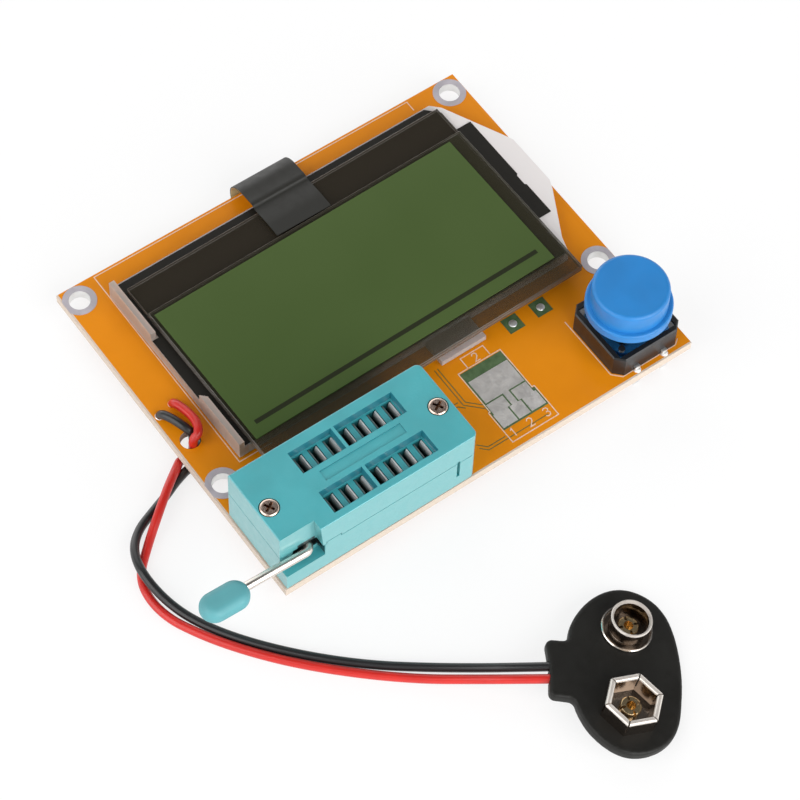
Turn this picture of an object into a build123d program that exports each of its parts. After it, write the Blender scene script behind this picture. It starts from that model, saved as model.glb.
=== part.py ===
"""Component tester on an open circuit board: test socket, display, push button and battery lead.

Millimetres. +X runs along the board's long side, +Y from its front to its back, +Z up. The origin
is under the middle of the object, on the surface that it stands on. Sketches are drawn from the
board's front left corner, and heights are counted from the board's top face.
"""

import os
from math import cos, pi, radians, sin, tan

from build123d import *

os.makedirs("parts", exist_ok=True)

# ---------------------------------------------------------------- driving dimensions

# circuit board
board_length = 72.5
board_depth = 60.0
board_thickness = 1.6
board_gap = 2.1  # free height under the board, taken up by the tails
foil = 0.05
mount_centre = (36.2, 38.4)
mount_spacing = (67.6, 37.9)
mount_hole_r = 1.65
mount_ring_r = 2.6
relief_hole = (2.6, 28.1)
relief_hole_r = 1.55

# origin, seen from the board's front left corner
origin_along = 29.25
origin_back = 29.5

# display
display_centre = (36.94, 35.67)
glass_turn = 0.9
guide_turn = 0.5
glass_width, glass_depth = 57.0, 36.0
ledge_depth = 5.7
guide_bottom, guide_top = 0.3, 2.4
film = 0.1
rear_glass_thickness = 0.8
front_glass_thickness = 0.6
glass_chamfer = 0.08
cable_width = 9.7
cable_thickness = 0.16
cable_middle = 36.4  # along the board

# test socket
socket_left, socket_right, socket_depth = 0.2, 32.9, 14.5
socket_bottom, socket_seam, socket_top = 0.3, 6.3, 11.4
row_front, row_back = 3.1, 10.72
contact_pitch = 2.54
contact_count = 7
first_hole = 10.225  # middle of the first hole in the cover
slider_travel = 0.8
lever_swing = 84.0

# lever
wire_r = 0.68
pivot_along, pivot_height = 4.9, 5.6
arm_depth = 0.85
arm_rise = 3.5  # degrees, at rest
knob_reach = 14.77
knob_length, knob_width, knob_height, knob_round = 7.7, 4.4, 3.0, 1.3
cam_offset = 0.6
cam_r = 1.3

# push button
switch_centre = (65.5, 7.15)
switch_side = 12.0
switch_top = 4.0
cap_flange_r, cap_r = 6.5, 5.75
cap_bottom, cap_top = 7.0, 12.2
stem_side = 3.8

# battery lead
lead_r = 0.68
snap_pitch = 12.7
snap_clear = 0.02

board_left, board_front = -origin_along, -origin_back
board_top = board_gap + board_thickness
corner = Vector(board_left, board_front, board_top)
floor = -board_top


# ---------------------------------------------------------------- planes and small helpers

def level(height):
    """Horizontal plane at a height over the board's top, drawn from its front left corner."""
    return Plane(origin=corner + Vector(0, 0, height))


def upright(depth):
    """Plane facing the front: x runs along the board and y runs up."""
    return Plane(origin=corner + Vector(0, depth, 0), x_dir=(1, 0, 0), z_dir=(0, -1, 0))


def sideways(along):
    """Plane facing right: x runs to the back and y runs up."""
    return Plane(origin=corner + Vector(along, 0, 0), x_dir=(0, 1, 0), z_dir=(1, 0, 0))


def display_level(height, turn):
    """Horizontal plane on the display's middle, turned as the display sits."""
    along, depth = display_centre
    middle = corner + Vector(along, depth, height)
    return Plane(origin=middle, x_dir=(cos(radians(turn)), sin(radians(turn)), 0))


def finish(piece, name):
    """Label a finished sub-part and write its file."""
    piece.part.label = name
    export_step(piece.part, f"parts/{name}.step")


def span(start, end, front, back):
    """Sketch rectangle given by its four sides."""
    with Locations(((start + end) / 2, (front + back) / 2)):
        return Rectangle(end - start, back - front)


contact_places = [
    (first_hole + contact_pitch * i, row)
    for row in (row_front, row_back)
    for i in range(contact_count)
]
terminal_places = [
    (switch_centre[0] + side * 2.5, switch_centre[1] + end * 6.25)
    for side in (-1, 1)
    for end in (-1, 1)
]
solder_places = {"black": (1.2, 33.9), "red": (3.9, 34.6)}
bare_pads = [(52.75, 17.65), (57.85, 17.65)]

# ---------------------------------------------------------------- circuit board

tail_hole_r = 0.42
terminal_hole_r = 0.53
lead_hole_r = 0.5

with BuildPart() as circuit_board:
    with BuildSketch(level(-board_thickness)):
        span(0, board_length, 0, board_depth)
        with Locations(mount_centre):
            with GridLocations(*mount_spacing, 2, 2):
                Circle(mount_hole_r, mode=Mode.SUBTRACT)
        with Locations(relief_hole):
            Circle(relief_hole_r, mode=Mode.SUBTRACT)
        with Locations(*contact_places):
            Circle(tail_hole_r, mode=Mode.SUBTRACT)
        with Locations(*terminal_places):
            Circle(terminal_hole_r, mode=Mode.SUBTRACT)
        with Locations(*solder_places.values(), *bare_pads):
            Circle(lead_hole_r, mode=Mode.SUBTRACT)
    extrude(amount=board_thickness)
finish(circuit_board, "circuit_board")

with BuildPart() as mounting_hole_rings:
    for height in (0, -board_thickness - foil):
        with BuildSketch(level(height)):
            with Locations(mount_centre):
                with GridLocations(*mount_spacing, 2, 2):
                    Circle(mount_ring_r)
            with BuildSketch(mode=Mode.INTERSECT):
                span(foil, board_length - foil, foil, board_depth - foil)
            with Locations(mount_centre):
                with GridLocations(*mount_spacing, 2, 2):
                    Circle(mount_hole_r, mode=Mode.SUBTRACT)
        extrude(amount=foil)
finish(mounting_hole_rings, "mounting_hole_rings")

bare_pad_side = 2.7
with BuildPart() as bare_solder_pads:
    with BuildSketch(level(0)):
        with Locations(*bare_pads):
            Rectangle(bare_pad_side, bare_pad_side)
            Circle(lead_hole_r, mode=Mode.SUBTRACT)
    extrude(amount=foil)
finish(bare_solder_pads, "bare_solder_pads")

# Three pads for surface-mount parts: two at the sides and a T-shaped one between them.
pad_back, pad_middle, pad_front = 13.1, 8.75, 3.9

with BuildPart() as test_pad_1:
    with BuildSketch(level(0)):
        span(41.1, 44.05, 6.5, 8.5)
        span(40.9, 43.5, pad_front, 6.5)
    extrude(amount=foil)
finish(test_pad_1, "test_pad_1")

with BuildPart() as test_pad_2:
    with BuildSketch(level(0)):
        span(41.25, 48.25, pad_middle, pad_back)
        span(44.3, 45.3, 6.4, pad_middle)
        span(43.75, 45.8, pad_front, 6.4)
    extrude(amount=foil)
finish(test_pad_2, "test_pad_2")

with BuildPart() as test_pad_3:
    with BuildSketch(level(0)):
        span(45.55, 48.25, 6.5, 8.5)
        span(46.05, 48.6, pad_front, 6.5)
    extrude(amount=foil)
finish(test_pad_3, "test_pad_3")

# ---------------------------------------------------------------- display

# The light guide in its own directions: a rectangle with a tapering end on the right, where the
# light-emitting diodes sit.
guide_left, guide_right = -30.4, 29.1
guide_front, guide_back = -14.0, 19.8
guide_end = 34.8
guide_outline = [
    (guide_left, guide_front),
    (guide_right, guide_front),
    (29.9, -11.3),
    (34.2, -3.3),
    (guide_end, -1.8),
    (guide_end, 7.3),
    (34.4, 8.2),
    (29.4, 18.4),
    (28.0, guide_back),
    (guide_left, guide_back),
]
window = (-27.2, 26.0, -12.6, 11.9)  # left, right, front, back
window_deep = 0.2
rib_top = 3.9
rib = 0.9
diode_places = [(guide_end - 0.9, 0.6), (guide_end - 0.9, 5.0)]

with BuildPart() as light_guide:
    with BuildSketch(display_level(guide_bottom, guide_turn)):
        with BuildLine():
            Polyline(guide_outline, close=True)
        make_face()
    extrude(amount=guide_top - guide_bottom)
    with BuildSketch(display_level(guide_top, guide_turn)):
        span(*window)
    extrude(amount=-window_deep, mode=Mode.SUBTRACT)
    with BuildSketch(display_level(guide_bottom, guide_turn)):
        with Locations(*diode_places):
            Rectangle(1.1, 3.1)
    extrude(amount=1.3, mode=Mode.SUBTRACT)
    # locating ribs at the left edge; the front one has a slanted back end
    with BuildSketch(display_level(guide_top, guide_turn)):
        span(guide_left, guide_left + rib, 8.8, guide_back)
    extrude(amount=rib_top - guide_top)
    with BuildSketch(display_level(guide_top, guide_turn)):
        with BuildLine():
            Polyline(
                (guide_left, guide_front),
                (guide_left + rib, guide_front),
                (guide_left + rib, -4.7),
                (guide_left, -3.8),
                close=True,
            )
        make_face()
    extrude(amount=rib_top - guide_top)
    # tab under the glass's front edge
    with BuildSketch(display_level(guide_bottom, guide_turn)):
        span(2.6, 10.6, -18.2, guide_front)
    extrude(amount=1.0)
finish(light_guide, "light_guide")

with BuildPart() as backlight_diodes:
    with BuildSketch(display_level(guide_bottom, guide_turn)):
        with Locations(*diode_places):
            Rectangle(1.0, 3.0)
    extrude(amount=1.2)
finish(backlight_diodes, "backlight_diodes")

with BuildPart() as diffuser_film:
    with BuildSketch(display_level(guide_top - window_deep, guide_turn)):
        span(window[0] + 0.1, window[1] - 0.1, window[2] + 0.1, window[3] - 0.1)
    extrude(amount=film)
finish(diffuser_film, "diffuser_film")

with BuildPart() as reflector_film:
    with BuildSketch(display_level(guide_bottom - film, guide_turn)):
        span(guide_left + 0.4, guide_right - 0.4, guide_front + 0.4, guide_back - 0.4)
    extrude(amount=film)
finish(reflector_film, "reflector_film")

with BuildPart() as mounting_tape:
    with BuildSketch(display_level(0, guide_turn)):
        for middle in (-18.0, 18.0):
            with Locations((middle, 3.0)):
                Rectangle(9.0, 30.0)
    extrude(amount=guide_bottom - film)
finish(mounting_tape, "mounting_tape")

# The tape reaches past the glass on the left between the ribs, along the back, and on the right
# in a strip with a shallow notch.
strip_right = 31.4
tape_outline = [
    (-29.3, -13.8),
    (28.8, -13.8),
    (28.8, -6.6),
    (strip_right, -6.6),
    (strip_right, -0.6),
    (strip_right - 0.25, -0.35),
    (strip_right - 0.25, 1.55),
    (strip_right, 1.8),
    (strip_right, 13.7),
    (28.8, 13.7),
    (28.8, 17.6),
    (26.9, 19.55),
    (-29.2, 19.55),
    (-29.2, 8.5),
    (guide_left + 0.1, 8.5),
    (guide_left + 0.1, -3.5),
    (-29.3, -3.5),
]

with BuildPart() as shading_tape:
    with BuildSketch(display_level(guide_top, guide_turn)):
        with BuildLine():
            Polyline(tape_outline, close=True)
        make_face()
        with BuildSketch(mode=Mode.SUBTRACT):
            span(*window)
    extrude(amount=film)
finish(shading_tape, "shading_tape")

rear_glass_bottom = guide_top + film
front_glass_bottom = rear_glass_bottom + rear_glass_thickness
front_glass_top = front_glass_bottom + front_glass_thickness
polariser = 0.18
polariser_area = (-28.0, 25.9, -14.5, 11.4)

with BuildPart() as rear_polariser:
    with BuildSketch(display_level(rear_glass_bottom - polariser, glass_turn)):
        span(-26.6, 25.4, -12.0, 11.4)
    extrude(amount=polariser)
finish(rear_polariser, "rear_polariser")

with BuildPart() as rear_glass:
    with BuildSketch(display_level(rear_glass_bottom, glass_turn)):
        Rectangle(glass_width, glass_depth)
    extrude(amount=rear_glass_thickness)
    chamfer(rear_glass.edges(), glass_chamfer)
finish(rear_glass, "rear_glass")

ledge_front = glass_depth / 2 - ledge_depth
with BuildPart() as front_glass:
    with BuildSketch(display_level(front_glass_bottom, glass_turn)):
        span(-glass_width / 2, glass_width / 2, -glass_depth / 2, ledge_front)
    extrude(amount=front_glass_thickness)
    chamfer(front_glass.edges(), glass_chamfer)
finish(front_glass, "front_glass")

with BuildPart() as front_polariser:
    with BuildSketch(display_level(front_glass_top, glass_turn)):
        span(*polariser_area)
    extrude(amount=polariser)
finish(front_polariser, "front_polariser")

chip_middle = (-0.55, ledge_front + 1.9)
chip_height = 0.35
with BuildPart() as driver_chip:
    with BuildSketch(display_level(front_glass_bottom, glass_turn)):
        with Locations(chip_middle):
            Rectangle(8.4, 1.2)
    extrude(amount=chip_height)
finish(driver_chip, "driver_chip")

cover_depth = 4.0
with BuildPart() as chip_cover_film:
    with BuildSketch(display_level(front_glass_bottom, glass_turn)):
        with Locations((chip_middle[0], ledge_front + 0.05 + cover_depth / 2)):
            Rectangle(cable_width, cover_depth)
    extrude(amount=chip_height + film)
    chamfer(chip_cover_film.edges().group_by(Axis.Z)[-1].sort_by(Axis.Y)[-1], 0.3)
    with BuildSketch(display_level(front_glass_bottom, glass_turn)):
        with Locations(chip_middle):
            Rectangle(8.5, 1.3)
    extrude(amount=chip_height + 0.02, mode=Mode.SUBTRACT)
finish(chip_cover_film, "chip_cover_film")

# The flat cable leaves the ledge, arches over the board's back edge and ends under the board.
cable_on_glass = front_glass_bottom + cable_thickness / 2
cable_under = -board_thickness - cable_thickness / 2
cable_route = [
    (52.2, cable_on_glass),
    (54.5, cable_on_glass),
    (56.3, 3.75),
    (58.8, 3.6),
    (60.9, 1.7),
    (60.85, -1.0),
    (60.1, -2.1),
    (58.5, cable_under),
    (55.6, cable_under),
]
cable_bends = [0.8, 3.0, 1.7, 1.6, 0.8, 0.7, 0.7]

with BuildPart() as display_cable:
    with BuildLine(sideways(cable_middle)) as cable_line:
        FilletPolyline(*cable_route, radius=cable_bends)
    with BuildSketch(Plane(origin=cable_line.line @ 0, z_dir=cable_line.line % 0, x_dir=(1, 0, 0))):
        Rectangle(cable_width, cable_thickness)
    sweep()
finish(display_cable, "display_cable")

cable_lands = 11
with BuildPart() as cable_solder_row:
    with BuildSketch(level(-board_thickness)):
        with Locations((cable_middle, 55.1)):
            with GridLocations(0.8, 1, cable_lands, 1):
                Rectangle(0.5, 0.9)
    extrude(amount=-0.3)
finish(cable_solder_row, "cable_solder_row")

# ---------------------------------------------------------------- test socket

pivot_slope = radians(lever_swing / 2)
cam_along = pivot_along + cam_offset * sin(pivot_slope)
cam_height = pivot_height - cam_offset * cos(pivot_slope)
cam_front, cam_back = 4.2, 10.0
shaft_end = 12.9
shaft_bore_r = wire_r + 0.07
notch_back = 1.75
notch_right = 6.3
elbow_room_back = 3.1
slider_bottom, slider_top = 4.3, socket_seam - 0.1
slider_front, slider_back = 2.15, 12.35
slider_left = cam_along + cam_r + 0.05
slider_right = 28.3
pocket_right = 29.0
leaf_gap = 0.9
leaf_width = 1.0
leaf_thickness = 0.2
screw_places = [(2.05, 6.95), (30.86, 6.95)]
screw_r = 0.75
screw_head_r = 1.45
edge_round = 1.0
seam_gap, seam_deep = 0.12, 0.35


def socket_outline():
    """Plan of the socket: square on the left, rounded corners on the right."""
    outline = span(socket_left, socket_right, 0, socket_depth)
    fillet(outline.vertices().group_by(Axis.X)[-1], edge_round)
    fillet(outline.vertices().group_by(Axis.X)[0], 0.25)


with BuildPart() as zif_base:
    with BuildSketch(level(socket_bottom)):
        socket_outline()
    extrude(amount=socket_seam - socket_bottom)
    # raised step of the seam in the front wall
    with BuildSketch(level(socket_seam)):
        span(7.0, 9.4, 0, 0.8)
    extrude(amount=0.5)
    # feet on the board
    with BuildSketch(level(0)):
        for place in [(2.0, 12.5), (31.0, 2.0), (31.0, 12.5), (8.3, 2.0)]:
            with Locations(place):
                Circle(0.9)
    extrude(amount=socket_bottom)
    # notch that the lever lies in
    with BuildSketch(level(3.6)):
        span(socket_left, notch_right + 0.4, 0, notch_back)
    extrude(amount=socket_seam - 3.6, mode=Mode.SUBTRACT)
    # opening behind the notch, under the cover, where the lever's elbow turns
    with BuildSketch(level(4.4)):
        span(2.4, notch_right + 1.0, 0.9, elbow_room_back)
    extrude(amount=socket_seam - 4.4, mode=Mode.SUBTRACT)
    # slider pocket and the deeper place for the cam
    with BuildSketch(level(slider_bottom - 0.1)):
        span(3.0, pocket_right, slider_front - 0.15, slider_back + 0.15)
    extrude(amount=socket_seam - slider_bottom + 0.1, mode=Mode.SUBTRACT)
    with BuildSketch(level(3.5)):
        span(3.0, 7.2, cam_front - 0.4, cam_back + 0.4)
    extrude(amount=socket_seam - 3.5, mode=Mode.SUBTRACT)
    # groove for the lever's shaft, open to the top
    with BuildSketch(upright(shaft_end + 0.2)):
        with Locations((pivot_along, pivot_height)):
            Circle(shaft_bore_r)
        span(
            pivot_along - shaft_bore_r,
            pivot_along + shaft_bore_r,
            pivot_height,
            socket_seam,
        )
    extrude(amount=shaft_end + 0.2, mode=Mode.SUBTRACT)
    # contact slots and tail slots
    with BuildSketch(level(1.1)):
        with Locations(*contact_places):
            Rectangle(leaf_gap + 0.4, leaf_width + 0.3)
    extrude(amount=slider_bottom - 1.1, mode=Mode.SUBTRACT)
    with BuildSketch(level(socket_bottom)):
        with Locations(*contact_places):
            Rectangle(0.4, 0.7)
    extrude(amount=0.8, mode=Mode.SUBTRACT)
    # screw holes
    with BuildSketch(level(2.2)):
        with Locations(*screw_places):
            Circle(screw_r + 0.01)
    extrude(amount=socket_seam - 2.2, mode=Mode.SUBTRACT)
    # narrow sink slot in the front wall
    with BuildSketch(level(2.7)):
        span(29.45, 29.95, 0, 0.8)
    extrude(amount=socket_seam - 2.7, mode=Mode.SUBTRACT)
finish(zif_base, "zif_base")

# The slider's windows let each contact through with room for the travel to the left.
window_width = leaf_gap + slider_travel + 0.2
window_shift = slider_travel / 2
with BuildPart() as zif_slider:
    with BuildSketch(level(slider_bottom)):
        span(slider_left, slider_right, slider_front, slider_back)
        with Locations(*[(x + window_shift, y) for x, y in contact_places]):
            Rectangle(window_width, leaf_width + 0.2, mode=Mode.SUBTRACT)
    extrude(amount=slider_top - slider_bottom)
finish(zif_slider, "zif_slider")

# Mouths of the contact holes: a sloped recess for three holes and one for four, in each row.
recess_spans = [(9.02, 16.33), (16.8, 26.76)]
recess_half = 1.98
recess_deep = 1.2
hole_width, hole_half = 1.65, 1.5
screw_seat = socket_top - 0.75
panel_middle = ((11.02 + 24.8) / 2, 6.9)

with BuildPart() as zif_cover:
    with BuildSketch(level(socket_seam)):
        socket_outline()
    extrude(amount=socket_top - socket_seam)
    fillet(zif_cover.edges().group_by(Axis.Z)[-1], 0.22)
    # shadow line that the cover leaves over the base, all round
    with BuildSketch(level(socket_seam)):
        socket_outline()
        offset(amount=-seam_deep, mode=Mode.SUBTRACT)
    extrude(amount=seam_gap, mode=Mode.SUBTRACT)
    # recess for the lever at the front left; its end wall leans back towards the top
    with BuildSketch(upright(notch_back)):
        with BuildLine():
            Polyline(
                (socket_left - 1, socket_seam - 1),
                (notch_right + 0.15, socket_seam - 1),
                (5.85, socket_top + 1),
                (socket_left - 1, socket_top + 1),
                close=True,
            )
        make_face()
    extrude(amount=notch_back + 1, mode=Mode.SUBTRACT)
    with BuildSketch(level(socket_seam)):
        span(6.9, 9.5, 0, 0.85)
    extrude(amount=0.5 + seam_gap, mode=Mode.SUBTRACT)
    for row in (row_front, row_back):
        for start, end in recess_spans:
            with BuildSketch(level(socket_top)):
                span(start, end, row - recess_half, row + recess_half)
            extrude(amount=-recess_deep, taper=14, mode=Mode.SUBTRACT)
        with BuildSketch(level(socket_seam)):
            with Locations((first_hole + contact_pitch * (contact_count - 1) / 2, row)):
                with GridLocations(contact_pitch, 1, contact_count, 1):
                    Rectangle(hole_width, 2 * hole_half)
        extrude(amount=socket_top - recess_deep - socket_seam, mode=Mode.SUBTRACT)
    # shallow panel between the rows
    with BuildSketch(level(socket_top)):
        with Locations(panel_middle):
            Rectangle(13.78, 1.8)
    extrude(amount=-0.2, mode=Mode.SUBTRACT)
    # room over the cam and the shaft
    with BuildSketch(level(socket_seam)):
        span(3.0, 7.2, cam_front - 0.4, cam_back + 0.4)
    extrude(amount=0.6, mode=Mode.SUBTRACT)
    with BuildSketch(level(socket_seam)):
        span(pivot_along - shaft_bore_r, pivot_along + shaft_bore_r, 0, shaft_end + 0.2)
    extrude(amount=0.1, mode=Mode.SUBTRACT)
    # screw holes with flat seats
    with BuildSketch(level(socket_seam)):
        with Locations(*screw_places):
            Circle(screw_r + 0.1)
    extrude(amount=socket_top - socket_seam, mode=Mode.SUBTRACT)
    with BuildSketch(level(screw_seat)):
        with Locations(*screw_places):
            Circle(screw_head_r + 0.08)
    extrude(amount=socket_top - screw_seat, mode=Mode.SUBTRACT)
    with BuildSketch(level(socket_seam)):
        span(29.45, 29.95, 0, 0.8)
    extrude(amount=0.5, mode=Mode.SUBTRACT)
finish(zif_cover, "zif_cover")

# One contact: two leaves on a bridge, flared into wide lips at the top, and a tail through the
# board.
bridge_bottom, bridge_top = 1.15, 1.45
leaf_top, lip_top = 8.9, socket_top - recess_deep - 0.1
lip_out, lip_width = 0.72, 2.6


def lip_profile(side):
    """Section of one leaf's lip, leaning outwards to the left (-1) or the right (1)."""
    inner = leaf_gap / 2 - leaf_thickness
    return [
        (side * inner, leaf_top - 0.4),
        (side * leaf_gap / 2, leaf_top - 0.4),
        (side * leaf_gap / 2, leaf_top),
        (side * lip_out, lip_top),
        (side * (lip_out - leaf_thickness), lip_top),
        (side * inner, leaf_top),
    ]


with BuildPart() as zif_contacts:
    with BuildSketch(level(bridge_bottom)):
        with Locations(*contact_places):
            Rectangle(leaf_gap, leaf_width)
    extrude(amount=bridge_top - bridge_bottom)
    for side in (-1, 1):
        shift = side * (leaf_gap - leaf_thickness) / 2
        with BuildSketch(level(bridge_bottom)):
            with Locations(*[(x + shift, y) for x, y in contact_places]):
                Rectangle(leaf_thickness, leaf_width)
        extrude(amount=leaf_top - 0.4 - bridge_bottom)
        for row in (row_front, row_back):
            with BuildSketch(upright(row + lip_width / 2)):
                for i in range(contact_count):
                    with Locations((first_hole + contact_pitch * i, 0)):
                        Polygon(*lip_profile(side), align=None)
            extrude(amount=lip_width)
    with BuildSketch(level(floor)):
        with Locations(*contact_places):
            Rectangle(0.25, 0.5)
    extrude(amount=bridge_bottom - floor)
finish(zif_contacts, "zif_contacts")

head_height = 0.95
with BuildPart() as zif_screws:
    with BuildSketch(level(2.4)):
        with Locations(*screw_places):
            Circle(screw_r)
    extrude(amount=screw_seat - 2.4)
    with BuildSketch(level(screw_seat)):
        with Locations(*screw_places):
            Circle(screw_head_r)
    extrude(amount=head_height)
    fillet(zif_screws.edges().group_by(Axis.Z)[-1], 0.4)
    with BuildSketch(level(screw_seat + head_height)):
        with Locations(*screw_places):
            Rectangle(1.7, 0.4, rotation=30)
            Rectangle(0.4, 1.7, rotation=30)
    extrude(amount=-0.6, taper=8, mode=Mode.SUBTRACT)
finish(zif_screws, "zif_screws")

# ---------------------------------------------------------------- lever

arm_direction = Vector(-cos(radians(arm_rise)), 0, sin(radians(arm_rise)))
pivot = corner + Vector(pivot_along, arm_depth, pivot_height)
knob_centre = pivot + arm_direction * knob_reach
wire_in_knob = 3.0
elbow_r = 1.0

with BuildPart() as zif_lever:
    with BuildLine() as lever_line:
        FilletPolyline(
            pivot + arm_direction * (knob_reach + wire_in_knob),
            pivot,
            corner + Vector(pivot_along, shaft_end, pivot_height),
            radius=elbow_r,
        )
    with BuildSketch(Plane(origin=lever_line.line @ 0, z_dir=lever_line.line % 0)):
        Circle(wire_r)
    sweep()
    # eccentric cam that pushes the slider
    with BuildSketch(upright(cam_back)):
        with Locations((cam_along, cam_height)):
            Circle(cam_r)
    extrude(amount=cam_back - cam_front)
finish(zif_lever, "zif_lever")

knob_up = Vector(sin(radians(arm_rise)), 0, cos(radians(arm_rise)))
knob_plane = Plane(
    origin=knob_centre + Vector(0, -0.35, 0), x_dir=-arm_direction, z_dir=knob_up
)
with BuildPart() as lever_knob:
    with BuildSketch(knob_plane):
        SlotOverall(knob_length, knob_width)
    extrude(amount=knob_height / 2, both=True)
    rim_edges = lever_knob.edges().filter_by(lambda edge: abs((edge % 0.5).dot(knob_up)) < 0.5)
    fillet(rim_edges, knob_round)
    with BuildSketch(Plane(origin=knob_centre - arm_direction * 6, z_dir=arm_direction)):
        Circle(wire_r + 0.01)
    extrude(amount=6 + wire_in_knob + 0.01, mode=Mode.SUBTRACT)
finish(lever_knob, "lever_knob")

# ---------------------------------------------------------------- push button

body_top = 3.4
plate_top = 3.75
rim = 0.9
corner_cut = 1.3
post_place = switch_side / 2 - rim - 1.2
well_r = 3.7


def switch_plan(side):
    """Square with cut corners on the switch's middle."""
    with Locations(switch_centre):
        square = Rectangle(side, side)
    chamfer(square.vertices(), corner_cut)


with BuildPart() as switch_body:
    with BuildSketch(level(0)):
        switch_plan(switch_side)
    extrude(amount=switch_top)
    chamfer(switch_body.edges().group_by(Axis.Z)[-1], 0.2)
    with BuildSketch(level(body_top)):
        with Locations(switch_centre):
            Rectangle(switch_side - 2 * rim, switch_side - 2 * rim)
    extrude(amount=switch_top - body_top, mode=Mode.SUBTRACT)
    with BuildSketch(level(1.2)):
        with Locations(switch_centre):
            Circle(well_r)
    extrude(amount=body_top - 1.2, mode=Mode.SUBTRACT)
    # rivet posts through the plate
    with BuildSketch(level(body_top)):
        with Locations(switch_centre):
            with GridLocations(2 * post_place, 2 * post_place, 2, 2):
                Circle(0.5)
    extrude(amount=plate_top + 0.2 - body_top)
    # slots that the terminals leave by
    for end in (-1, 1):
        with BuildSketch(level(0.5)):
            with Locations((switch_centre[0], switch_centre[1] + end * 5.5)):
                with GridLocations(5.0, 1, 2, 1):
                    Rectangle(1.0, 1.02)
        extrude(amount=0.5, mode=Mode.SUBTRACT)
finish(switch_body, "switch_body")

with BuildPart() as switch_plate:
    with BuildSketch(level(body_top)):
        with Locations(switch_centre):
            Rectangle(switch_side - 2 * rim - 0.04, switch_side - 2 * rim - 0.04)
            Circle(3.6, mode=Mode.SUBTRACT)
            with GridLocations(2 * post_place, 2 * post_place, 2, 2):
                Circle(0.52, mode=Mode.SUBTRACT)
    extrude(amount=plate_top - body_top)
finish(switch_plate, "switch_plate")

terminal_thickness = 0.3
with BuildPart() as switch_terminals:
    for end in (-1, 1):
        inner = switch_centre[1] + end * 5.0
        outer = switch_centre[1] + end * (6.25 + terminal_thickness / 2)
        with BuildSketch(level(0.55)):
            with Locations((switch_centre[0], (inner + outer) / 2)):
                with GridLocations(5.0, 1, 2, 1):
                    Rectangle(0.9, abs(outer - inner))
        extrude(amount=terminal_thickness)
        with BuildSketch(level(floor)):
            with Locations((switch_centre[0], switch_centre[1] + end * 6.25)):
                with GridLocations(5.0, 1, 2, 1):
                    Rectangle(0.9, terminal_thickness)
        extrude(amount=0.55 + terminal_thickness - floor)
finish(switch_terminals, "switch_terminals")

plunger_bottom = 2.6
dome_bottom = 1.2
dome_thickness = 0.12
with BuildPart() as snap_dome:
    with BuildSketch(upright(switch_centre[1])):
        with BuildLine():
            left = (switch_centre[0], plunger_bottom - 0.02)
            right = (switch_centre[0] + 3.2, dome_bottom)
            over = ThreePointArc(left, (switch_centre[0] + 1.7, 2.2), right)
            under = ThreePointArc(
                (left[0], left[1] - dome_thickness),
                (switch_centre[0] + 1.65, 2.2 - dome_thickness),
                (right[0] - dome_thickness, right[1]),
            )
            Line(left, (left[0], left[1] - dome_thickness))
            Line((right[0] - dome_thickness, right[1]), right)
        make_face()
    spin = Axis(corner + Vector(*switch_centre, 0), (0, 0, 1))
    revolve(axis=spin)
finish(snap_dome, "snap_dome")

stem_top = 10.2
with BuildPart() as switch_plunger:
    with BuildSketch(level(plunger_bottom)):
        with Locations(switch_centre):
            Circle(3.3)
    extrude(amount=2.0)
    with BuildSketch(level(plunger_bottom + 2.0)):
        with Locations(switch_centre):
            Rectangle(stem_side, stem_side)
    extrude(amount=stem_top - plunger_bottom - 2.0)
    chamfer(switch_plunger.edges().group_by(Axis.Z)[-1], 0.2)
finish(switch_plunger, "switch_plunger")

cap_wall, cap_roof = 1.0, 1.3
flange_height = 1.5
with BuildPart() as button_cap:
    with BuildSketch(level(cap_bottom)):
        with Locations(switch_centre):
            Circle(cap_flange_r)
    extrude(amount=flange_height)
    fillet(button_cap.edges().group_by(Axis.Z)[-1], 0.35)
    with BuildSketch(level(cap_bottom + flange_height)):
        with Locations(switch_centre):
            Circle(cap_r)
    extrude(amount=cap_top - cap_bottom - flange_height)
    fillet(button_cap.edges().group_by(Axis.Z)[-1], 0.6)
    with BuildSketch(level(cap_bottom)):
        with Locations(switch_centre):
            Circle(cap_r - cap_wall)
    extrude(amount=cap_top - cap_roof - cap_bottom, mode=Mode.SUBTRACT)
    with BuildSketch(level(cap_bottom + 0.6)):
        with Locations(switch_centre):
            Circle(3.6)
    extrude(amount=cap_top - 0.5 - cap_bottom - 0.6)
    with BuildSketch(level(cap_bottom)):
        with Locations(switch_centre):
            Rectangle(stem_side + 0.02, stem_side + 0.02)
    extrude(amount=stem_top + 0.05 - cap_bottom, mode=Mode.SUBTRACT)
finish(button_cap, "button_cap")

# ---------------------------------------------------------------- underside

under = -board_thickness


def blocks(height, places, length, width):
    """Sketch of equal rectangles at a height."""
    with BuildSketch(level(height)) as plan:
        with Locations(*places):
            Rectangle(length, width)
    return plan.sketch


solder_foot_r, solder_height = 0.9, 1.0
with BuildPart() as tail_solder:
    with BuildSketch(level(under)):
        with Locations(*contact_places):
            Circle(solder_foot_r)
    extrude(amount=-solder_height, taper=24)
    with BuildSketch(level(under)):
        with Locations(*contact_places):
            Rectangle(0.27, 0.52)
    extrude(amount=-solder_height, mode=Mode.SUBTRACT)
finish(tail_solder, "tail_solder")

with BuildPart() as terminal_solder:
    with BuildSketch(level(under)):
        with Locations(*terminal_places):
            Circle(0.88)
    extrude(amount=-solder_height, taper=14)
    with BuildSketch(level(under)):
        with Locations(*terminal_places):
            Rectangle(0.92, terminal_thickness + 0.02)
    extrude(amount=-solder_height, mode=Mode.SUBTRACT)
finish(terminal_solder, "terminal_solder")

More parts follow.
